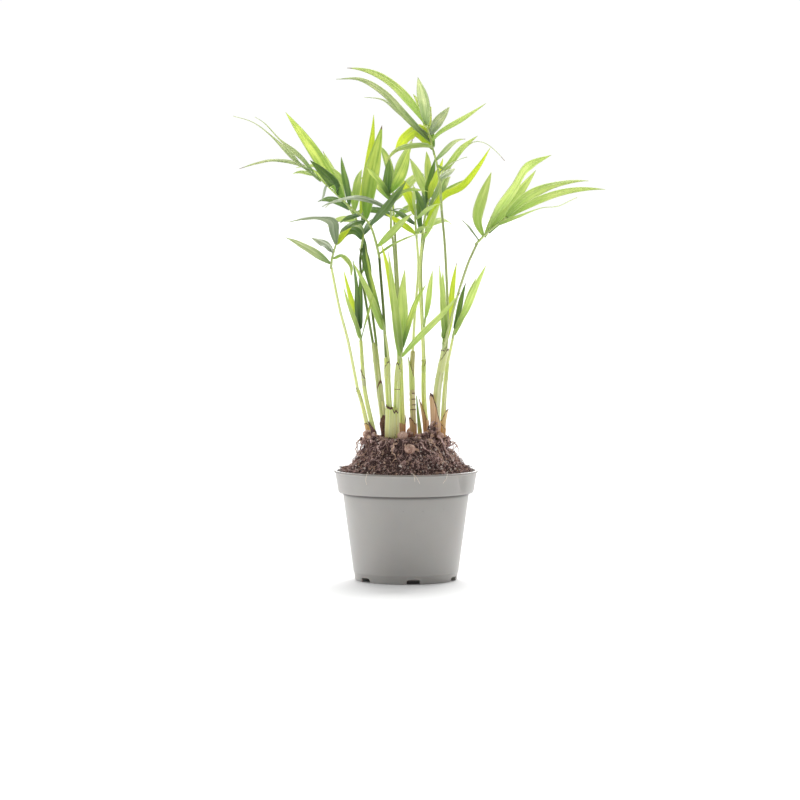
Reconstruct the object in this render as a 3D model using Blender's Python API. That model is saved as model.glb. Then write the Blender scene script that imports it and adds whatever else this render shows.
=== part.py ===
"""A clump of young parlour palms in its small round nursery pot, as closed solids.

Sizes are in millimetres and MM turns them into metres. +Z is up, +X is to the right and -Y is towards the
front. The origin is the middle of the pot's flat underside. Stems stand on a bed of root and peat, stalks
rise from the stems, and each frond is one thin blade whose outline is cut to the rib between its leaflets.
"""

import math
from dataclasses import dataclass

import bmesh
import bpy
import numpy as np

MM = 0.001
GAP = 0.3

POT_HEIGHT = 46.0
RIM_RADIUS = 30.0
BAND_HEIGHT = 9.4
BAND_FOOT_RADIUS = 28.2
BODY_TOP_RADIUS = 26.2
BODY_FOOT_RADIUS = 21.4
POT_WALL = 1.0
POT_FLOOR = 1.4
LIP_OVERHANG = 0.6
LIP_DEPTH = 1.6
LEDGE_HEIGHT = 3.4
LEDGE_STEP = 0.25
POT_SEGMENTS = 64
DRAIN_COUNT = 6
DRAIN_WIDTH = 5.6
DRAIN_HEIGHT = 1.9
DRAIN_DEPTH = 5.0
DRAIN_OVERRUN = 3.0
DRAIN_FIRST_ANGLE = 218.0
FOOT_ROUND = 0.4
LIP_ROUND = 0.3
SHOULDER_RISE = 1.2
SMOOTH_ANGLE = 35.0

BED_TOP = 59.0
BED_TOP_RADIUS = 17.2
BED_CROWN_RADIUS = 16.6
BED_EDGE_RADIUS = 27.6
BED_SLOPE_RADII = (0.0, 16.6, 17.2, 18.8, 20.9, 24.6, 28.0)
BED_SLOPE_HEIGHTS = (59.0, 59.0, 57.6, 54.0, 51.0, 47.4, 45.2)
BED_SLOPE_RINGS = 7
BED_SEGMENTS = 40
BED_ROUGHNESS = 0.35
BED_ROUGH_START = 3.0
SEED_RADIUS = 2.1
SEED_SQUASH = (1.0, 0.94, 0.88)

BLADE_THICKNESS = 0.7
RIB_FOOT_WIDTH = 1.1
RIB_END_WIDTH = 0.8
BLADE_ROWS = (0.13, 0.32, 0.52, 0.72, 0.88)
BLADE_FLARE = (0.42, 0.84, 1.0, 0.80, 0.46)
TWIST_LIFT = 0.35
BOW_SPREAD = 0.25
TWIN_ANGLE = 30.0
HEADING_STEP = 0.02

STEM_SIDES = 8
STALK_SIDES = 6
POINTS_PER_SPAN = 3

PLASTIC = ("pot_plastic", (0.36, 0.37, 0.37), 0.45)
PEAT = ("peat", (0.06, 0.035, 0.022), 0.95)
HUSK = ("seed_husk", (0.30, 0.17, 0.10), 0.6)
STEM_SKIN = ("stem_skin", (0.50, 0.56, 0.26), 0.5)
STALK_SKIN = ("stalk_skin", (0.32, 0.42, 0.16), 0.5)
LEAF_SKIN = ("leaf_skin", (0.34, 0.58, 0.08), 0.45)

FRONT = (0.0, -1.0, 0.25)
FRONT_LEFT = (-0.55, -0.85, 0.25)
FRONT_RIGHT = (0.55, -0.85, 0.25)


@dataclass
class Leaf:
    """One leaflet, from its seat on the rib (0 at the rib's foot, 1 at its end) to its tip.

    width is its widest, bow is how far its middle rises above the straight line from seat to tip, and turn
    is how far its face is turned to the right of the frond's own face, in degrees. end puts it on the rib's
    end.
    """

    seat: float
    tip: tuple
    width: float
    bow: float = 0.0
    turn: float = 0.0
    end: bool = False


@dataclass
class Frond:
    """One frond: its rib's course, how many leaflets fit along each side of it, and its leaflets."""

    name: str
    rib: list
    places: int
    leaves: list
    face: tuple = FRONT


@dataclass
class Limb:
    """One round tapering limb: its course, and its radius at the foot and at the top."""

    name: str
    course: list
    foot_radius: float
    top_radius: float


def unit(vector):
    """The vector at length one."""
    vector = np.asarray(vector, float)
    return vector / max(np.linalg.norm(vector), 1e-9)


def smooth_course(points, per_span=POINTS_PER_SPAN):
    """A Catmull-Rom curve through the points, with the given number of steps for each span."""
    points = np.asarray(points, float)
    if len(points) == 2:
        middle = points.mean(axis=0)
        points = np.array([points[0], middle, points[1]])
    before = 2 * points[0] - points[1]
    after = 2 * points[-1] - points[-2]
    padded = np.vstack([before, points, after])
    course = []
    for i in range(len(points) - 1):
        a, b, c, d = padded[i : i + 4]
        for t in np.arange(per_span) / per_span:
            square = (2 * a - 5 * b + 4 * c - d) * t**2
            cube = (3 * b - a - 3 * c + d) * t**3
            course.append(0.5 * (2 * b + (c - a) * t + square + cube))
    course.append(points[-1])
    return np.array(course)


def along(course, share):
    """The point at a share of the course's length."""
    steps = np.linalg.norm(np.diff(course, axis=0), axis=1)
    reach = np.concatenate([[0.0], np.cumsum(steps)])
    at = np.clip(share, 0.0, 1.0) * reach[-1]
    return np.array([np.interp(at, reach, course[:, axis]) for axis in range(3)])


def material_for(skin):
    """The Principled material of a skin, made once."""
    name, colour, roughness = skin
    found = bpy.data.materials.get(name)
    if found:
        return found
    made = bpy.data.materials.new(name)
    made.use_nodes = True
    shader = made.node_tree.nodes["Principled BSDF"]
    shader.inputs["Base Color"].default_value = (*colour, 1.0)
    shader.inputs["Roughness"].default_value = roughness
    shader.inputs["Metallic"].default_value = 0.0
    return made


def add_object(name, data, skin):
    """Links new data to the scene under a name, with its material."""
    data.materials.append(material_for(skin))
    piece = bpy.data.objects.new(name, data)
    bpy.context.scene.collection.objects.link(piece)
    return piece


def add_mesh(name, points, faces, skin, closed=True):
    """A mesh object from points in millimetres and faces, with a closed mesh's faces turned outwards."""
    mesh = bpy.data.meshes.new(name)
    mesh.from_pydata((np.asarray(points) * MM).tolist(), [], faces)
    if closed:
        turn_outwards(mesh)
    mesh.update()
    mesh.shade_smooth()
    mesh.set_sharp_from_angle(angle=math.radians(SMOOTH_ANGLE))
    return add_object(name, mesh, skin)


def make_limb(limb, skin, sides):
    """A round tapering limb as a bevelled curve with flat ends."""
    course = smooth_course(limb.course)
    radii = np.linspace(limb.foot_radius, limb.top_radius, len(course))
    curve = bpy.data.curves.new(limb.name, "CURVE")
    curve.dimensions = "3D"
    curve.bevel_depth = MM
    curve.bevel_resolution = sides // 2 - 2
    curve.use_fill_caps = True
    spline = curve.splines.new("POLY")
    spline.points.add(len(course) - 1)
    for point, place, radius in zip(spline.points, course, radii):
        point.co = (*(place * MM), 1.0)
        point.radius = radius
    return add_object(limb.name, curve, skin)


def blade_rows(base, tip, leaf, face, outward, part_from=None):
    """The middle and half width of a leaflet at each of its rows, along a course that bows upwards.

    Where the leaflet shares the rib's end with a near twin, whose chord is part_from, its rows move away
    from the twin by up to half their width, so that the two lie edge to edge.
    """
    chord = tip - base
    lift = np.array([0.0, 0.0, 1.0]) + BOW_SPREAD * outward
    lift = unit(lift - unit(chord) * (lift @ unit(chord)))
    control = (base + tip) / 2 + 2 * leaf.bow * lift
    turn = math.radians(leaf.turn)
    turned = np.array(
        [
            face[0] * math.cos(turn) - face[1] * math.sin(turn),
            face[0] * math.sin(turn) + face[1] * math.cos(turn),
            face[2] + TWIST_LIFT,
        ]
    )
    closeness = 0.0
    if part_from is not None:
        between = math.degrees(math.acos(np.clip(unit(chord) @ unit(part_from), -1.0, 1.0)))
        closeness = max(0.0, 1.0 - between / TWIN_ANGLE)
    rows = []
    for share, flare in zip(BLADE_ROWS, BLADE_FLARE):
        middle = (1 - share) ** 2 * base + 2 * share * (1 - share) * control + share**2 * tip
        heading = unit(2 * (1 - share) * (control - base) + 2 * share * (tip - control))
        across = unit(np.cross(heading, turned))
        half = across * leaf.width * flare / 2
        if closeness:
            away = half if half @ (chord - part_from) > 0 else -half
            middle = middle + away * closeness + unit(away) * BLADE_THICKNESS * closeness / 2
        rows.append((middle, half))
    return rows


def make_frond(frond):
    """A frond as one sheet: a narrow rib with a leaflet grown from each edge that carries one, made thick."""
    course = smooth_course(frond.rib)
    face = unit(frond.face)
    points = []
    left, right = [], []
    for i in range(frond.places + 1):
        share = i / frond.places
        here = along(course, share)
        heading = unit(along(course, share + HEADING_STEP) - along(course, share - HEADING_STEP))
        across = unit(np.cross(heading, face))
        half = (RIB_FOOT_WIDTH + (RIB_END_WIDTH - RIB_FOOT_WIDTH) * share) / 2
        left.append(len(points))
        points.append(here - across * half)
        right.append(len(points))
        points.append(here + across * half)
    top = len(points)
    points.append(here + heading * RIB_END_WIDTH / 2)
    faces = []
    for i in range(frond.places - 1):
        faces.append([left[i], right[i], right[i + 1], left[i + 1]])
    faces.append([left[-2], right[-2], right[-1], left[-1]])
    faces.append([left[-1], right[-1], top])

    def grow(first, second, leaf, outward, twin=None):
        """Adds a leaflet whose foot is the edge from first to second, with faces wound as the rib's."""
        start, finish = np.array(points[first]), np.array(points[second])
        base = (start + finish) / 2
        tip = np.array(leaf.tip, float)
        edge = (first, second)
        part_from = None if twin is None else np.array(twin.tip, float) - base
        for middle, half in blade_rows(base, tip, leaf, face, outward, part_from):
            before = np.array(points[edge[1]]) - np.array(points[edge[0]])
            half = half if half @ before >= 0 else -half
            row = (len(points), len(points) + 1)
            points.extend([middle - half, middle + half])
            faces.append([edge[0], edge[1], row[1], row[0]])
            edge = row
        faces.append([edge[0], edge[1], len(points)])
        points.append(tip)

    taken = set()
    ends = [leaf for leaf in frond.leaves if leaf.end]
    across = points[right[-1]] - points[left[-1]]
    ends.sort(key=lambda leaf: (np.array(leaf.tip) - points[top]) @ across)
    end_edges = [(left[-1], top), (top, right[-1])]
    if len(ends) == 1:
        end_edges = end_edges[:1] if (np.array(ends[0].tip) - points[top]) @ across < 0 else end_edges[1:]
    for leaf, twin, (first, second) in zip(ends, ends[::-1] if len(ends) == 2 else [None], end_edges):
        grow(first, second, leaf, unit(np.array(leaf.tip) - points[top]), twin)
    for leaf in frond.leaves:
        if leaf.end:
            continue
        near = min(int(leaf.seat * frond.places), frond.places - 1)
        sideways = unit(points[right[near]] - points[left[near]])
        reach = np.array(leaf.tip) - along(course, leaf.seat)
        on_right = reach @ sideways > 0
        order = sorted(range(frond.places), key=lambda i: abs(i - near))
        place = next(i for i in order if (i, on_right) not in taken)
        taken.add((place, on_right))
        if on_right:
            grow(right[place + 1], right[place], leaf, sideways)
        else:
            grow(left[place], left[place + 1], leaf, -sideways)
    piece = add_mesh(frond.name, points, faces, LEAF_SKIN, closed=False)
    thick = piece.modifiers.new("blade", "SOLIDIFY")
    thick.thickness = BLADE_THICKNESS * MM
    thick.offset = 0.0
    return piece


def turned_profile(profile, segments):
    """Points and faces of a closed profile of (radius, height) turned round the upright axis."""
    angles = np.arange(segments) * 2 * math.pi / segments
    points = [
        (radius * math.cos(a), radius * math.sin(a), height) for radius, height in profile for a in angles
    ]
    faces = []
    for ring in range(len(profile)):
        below = (ring + 1) % len(profile)
        for i in range(segments):
            j = (i + 1) % segments
            faces.append(
                [ring * segments + i, ring * segments + j, below * segments + j, below * segments + i]
            )
    return points, faces


def wall_radius(height):
    """The body's outer radius at a height below the band."""
    share = height / (POT_HEIGHT - BAND_HEIGHT)
    return BODY_FOOT_RADIUS + (BODY_TOP_RADIUS - BODY_FOOT_RADIUS) * share


def pot_profile():
    """The pot's section: out along the underside, up the outside, over the lip and down the inside."""
    band_foot = POT_HEIGHT - BAND_HEIGHT
    lip_foot = POT_HEIGHT - LIP_DEPTH
    ledge = wall_radius(LEDGE_HEIGHT)
    inner_band = BAND_FOOT_RADIUS - POT_WALL
    return [
        (BODY_FOOT_RADIUS - FOOT_ROUND, 0.0),
        (BODY_FOOT_RADIUS, FOOT_ROUND),
        (ledge, LEDGE_HEIGHT),
        (ledge + LEDGE_STEP, LEDGE_HEIGHT + LEDGE_STEP),
        (BODY_TOP_RADIUS, band_foot),
        (BAND_FOOT_RADIUS, band_foot),
        (RIM_RADIUS - LIP_OVERHANG, lip_foot),
        (RIM_RADIUS, lip_foot + LIP_ROUND),
        (RIM_RADIUS, POT_HEIGHT - LIP_ROUND),
        (RIM_RADIUS - LIP_ROUND, POT_HEIGHT),
        (RIM_RADIUS - POT_WALL - LIP_OVERHANG, POT_HEIGHT),
        (inner_band, band_foot + SHOULDER_RISE),
        (BODY_TOP_RADIUS - POT_WALL, band_foot),
        (BODY_FOOT_RADIUS - POT_WALL, POT_FLOOR),
    ]


def make_pot():
    """The pot: a turned wall, closed by a flat floor, with drain slots cut through the foot of the wall."""
    profile = pot_profile()
    points, faces = turned_profile(profile, POT_SEGMENTS)
    last = (len(profile) - 1) * POT_SEGMENTS
    faces = faces[: -POT_SEGMENTS]
    underside, floor = len(points), len(points) + 1
    points += [(0.0, 0.0, 0.0), (0.0, 0.0, POT_FLOOR)]
    for i in range(POT_SEGMENTS):
        j = (i + 1) % POT_SEGMENTS
        faces.append([underside, j, i])
        faces.append([floor, last + i, last + j])
    pot = add_mesh("pot", points, faces, PLASTIC)
    for i in range(DRAIN_COUNT):
        angle = math.radians(DRAIN_FIRST_ANGLE) + i * 2 * math.pi / DRAIN_COUNT
        cutter = make_drain_cutter(i, angle)
        cut = pot.modifiers.new(f"drain_{i + 1}", "BOOLEAN")
        cut.operation = "DIFFERENCE"
        cut.object = cutter
    return pot


def turn_outwards(mesh):
    """Turns the faces of a closed mesh outwards."""
    work = bmesh.new()
    work.from_mesh(mesh)
    bmesh.ops.recalc_face_normals(work, faces=work.faces)
    work.to_mesh(mesh)
    work.free()


def make_drain_cutter(number, angle):
    """A block that cuts one drain slot through the foot of the wall and the edge of the floor."""
    length = DRAIN_DEPTH + DRAIN_OVERRUN
    middle = BODY_FOOT_RADIUS - DRAIN_DEPTH + length / 2
    mesh = bpy.data.meshes.new(f"drain_cutter_{number + 1}")
    work = bmesh.new()
    bmesh.ops.create_cube(work, size=1.0)
    bmesh.ops.scale(work, vec=(length * MM, DRAIN_WIDTH * MM, 2 * DRAIN_HEIGHT * MM), verts=work.verts)
    work.to_mesh(mesh)
    work.free()
    cutter = bpy.data.objects.new(f"drain_cutter_{number + 1}", mesh)
    cutter.location = (middle * math.cos(angle) * MM, middle * math.sin(angle) * MM, 0.0)
    cutter.rotation_euler = (0.0, 0.0, angle)
    cutter.hide_render = True
    cutter.display_type = "WIRE"
    bpy.context.scene.collection.objects.link(cutter)
    return cutter


def bed_height(radius, angle):
    """The height of the peat: a flat crown, a steep shoulder, then a slope down to just below the rim."""
    height = np.interp(radius, BED_SLOPE_RADII, BED_SLOPE_HEIGHTS)
    rough = math.sin(5 * angle + radius) + math.sin(9 * angle - 1.7 * radius)
    share = np.clip((radius - BED_TOP_RADIUS) / BED_ROUGH_START, 0.0, 1.0)
    return height + BED_ROUGHNESS * rough * share


def make_bed():
    """The bed of roots and peat: it fills the pot, clear of the wall, and mounds up under the stems."""
    angles = np.arange(BED_SEGMENTS) * 2 * math.pi / BED_SEGMENTS
    crown = [BED_CROWN_RADIUS / 2, BED_CROWN_RADIUS]
    slope = np.linspace(BED_TOP_RADIUS, BED_EDGE_RADIUS, BED_SLOPE_RINGS)
    points, faces = [(0.0, 0.0, BED_TOP)], []
    for radius in (*crown, *slope):
        points += [(radius * math.cos(a), radius * math.sin(a), bed_height(radius, a)) for a in angles]
    band_foot = POT_HEIGHT - BAND_HEIGHT
    shoulder = BODY_TOP_RADIUS - POT_WALL - GAP
    foot = BODY_FOOT_RADIUS - POT_WALL - GAP / 2
    bed_floor = DRAIN_HEIGHT + 2 * GAP
    sides = (
        (shoulder + SHOULDER_RISE, band_foot + 2 * SHOULDER_RISE),
        (shoulder, band_foot - GAP),
        (foot, bed_floor),
    )
    for radius, height in sides:
        points += [(radius * math.cos(a), radius * math.sin(a), height) for a in angles]
    count = len(crown) + len(slope) + len(sides)
    bottom = len(points)
    points.append((0.0, 0.0, bed_floor))
    last = 1 + (count - 1) * BED_SEGMENTS
    for i in range(BED_SEGMENTS):
        j = (i + 1) % BED_SEGMENTS
        faces.append([0, 1 + i, 1 + j])
        for ring in range(count - 1):
            upper = 1 + ring * BED_SEGMENTS
            lower = upper + BED_SEGMENTS
            faces.append([upper + i, lower + i, lower + j, upper + j])
        faces.append([last + i, bottom, last + j])
    return add_mesh("root_bed", points, faces, PEAT)


def make_seed(name, x, y, size):
    """A round seed husk that rests on the bed."""
    work = bmesh.new()
    bmesh.ops.create_icosphere(work, subdivisions=2, radius=size * MM)
    bmesh.ops.scale(work, vec=SEED_SQUASH, verts=work.verts)
    lowest = min(vert.co.z for vert in work.verts)
    mesh = bpy.data.meshes.new(name)
    work.to_mesh(mesh)
    work.free()
    mesh.shade_smooth()
    seed = add_object(name, mesh, HUSK)
    seed.location = (x * MM, y * MM, (BED_TOP + GAP) * MM - lowest)
    return seed


FOOT = BED_TOP + GAP

STEMS = (
    Limb("stem_1", [(-15.6, 1, FOOT), (-15.9, 1, 62.6), (-18.2, 0.6, 73), (-20.1, 0, 79.4)], 1.0, 0.75),
    Limb("stem_2", [(-13.2, -6, FOOT), (-13.6, -6, 63), (-17.2, -6, 80), (-18.8, -6, 100.2)], 1.05, 0.7),
    Limb("stem_3", [(-8.8, 5.4, FOOT), (-9.0, 5.4, 63), (-11.6, 5.3, 84), (-13.2, 5.2, 98.6)], 1.5, 1.25),
    Limb("stem_4_collar", [(-5.7, -6, FOOT), (-5.8, -6, 63), (-5.7, -6, 72.3)], 3.1, 2.9),
    Limb("stem_4_left", [(-7.0, -6, 72.6), (-7.2, -6, 75), (-7.7, -6, 85), (-7.9, -6, 93.0)], 1.3, 1.25),
    Limb("stem_4_right", [(-4.1, -6, 72.6), (-4.0, -6, 75), (-3.6, -6.1, 85), (-2.8, -6.2, 91.2)], 1.25, 1.15),
    Limb("stem_5", [(3.1, 8, FOOT), (3.1, 8, 63), (2.5, 8.2, 84), (2.9, 8.4, 95.0)], 1.35, 1.0),
    Limb("stem_6_spear", [(5.8, -3, FOOT), (5.8, -3, 62), (5.0, -3.2, 70), (4.4, -3.4, 76.9)], 1.1, 0.2),
    Limb("stem_7", [(8.6, 11, FOOT), (8.4, 11, 64), (7.5, 11, 77), (7.5, 11, 91.5)], 1.2, 0.9),
    Limb("stem_8", [(12.2, -5, FOOT), (12.2, -5, 63), (13.2, -5, 80), (16.2, -5, 96.6)], 1.9, 1.45),
    Limb("stem_9", [(15.4, 1.4, FOOT), (15.3, 1.4, 62), (16.2, 1.6, 78), (17.3, 2.0, 90.2)], 1.2, 0.8),
    Limb("stem_10", [(-1.6, 13.6, FOOT), (-1.6, 13.6, 63), (-2.0, 14, 78), (-2.4, 14.6, 92)], 1.4, 1.0),
)

STALKS = (
    Limb(
        "stalk_low_left",
        [(-20.2, -0.1, 79.8), (-24.2, -4, 100.3), (-27.6, -8, 113.7), (-30.9, -12, 131.0)],
        0.65, 0.5,
    ),
    Limb(
        "stalk_arch_left",
        [(-13.9, 5.5, 99.0), (-16.9, 8, 116.6), (-19.2, 11, 131), (-18.7, 12, 138.4)],
        0.55, 0.5,
    ),
    Limb(
        "stalk_back_left",
        [(-12.5, 5.0, 99.0), (-14.6, 10, 115.8), (-16.4, 20, 134), (-18.8, 28, 146)],
        0.55, 0.5,
    ),
    Limb("stalk_low_middle", [(-7.3, -6.9, 93.4), (-8.0, -7.2, 99), (-8.8, -7.4, 104)], 0.5, 0.45),
    Limb(
        "stalk_big_left",
        [(-8.3, -5.3, 93.4), (-9.4, -4.2, 112.9), (-10.6, -3.4, 127.9), (-11.1, -3, 134.6)],
        0.65, 0.55,
    ),
    Limb(
        "stalk_centre",
        [(-3.2, -5.3, 91.7), (-3.9, -4.2, 117.0), (-5.0, -3.2, 137.9), (-6.3, -4, 147.0)],
        0.5, 0.5,
    ),
    Limb(
        "stalk_fan_front",
        [(2.9, 8.4, 95.4), (3.8, 7.6, 111.6), (5.2, 6.6, 130), (4.4, 5, 143.4)],
        0.6, 0.5,
    ),
    Limb(
        "stalk_fan_middle",
        [(7.2, 10.7, 91.9), (6.7, 12, 105.8), (5.7, 14, 126), (6.7, 16, 140.6)],
        0.55, 0.5,
    ),
    Limb(
        "stalk_back_right",
        [(7.9, 11.7, 91.9), (7.0, 17, 112), (6.6, 24, 132), (8.5, 30, 146)],
        0.45, 0.45,
    ),
    Limb(
        "stalk_tall",
        [(16.8, -4.6, 97.0), (17.4, -3.6, 111.6), (16.3, -1, 137.9), (14.8, 1, 155)],
        0.6, 0.5,
    ),
    Limb(
        "stalk_right",
        [(15.7, -5.9, 97.0), (17.8, -7, 105.8), (21.0, -9, 117.9), (25.5, -12.6, 132.1), (29.3, -15, 140.7)],
        0.55, 0.5,
    ),
    Limb("stalk_low_right", [(17.4, 2.0, 90.6), (18.6, 2.3, 96), (19.7, 2.5, 101.6)], 0.65, 0.5),
    Limb(
        "stalk_back_middle",
        [(-2.4, 14.7, 92.4), (-2.8, 17, 112), (-4.0, 24, 134), (-5, 30, 150)],
        0.6, 0.5,
    ),
)

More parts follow.
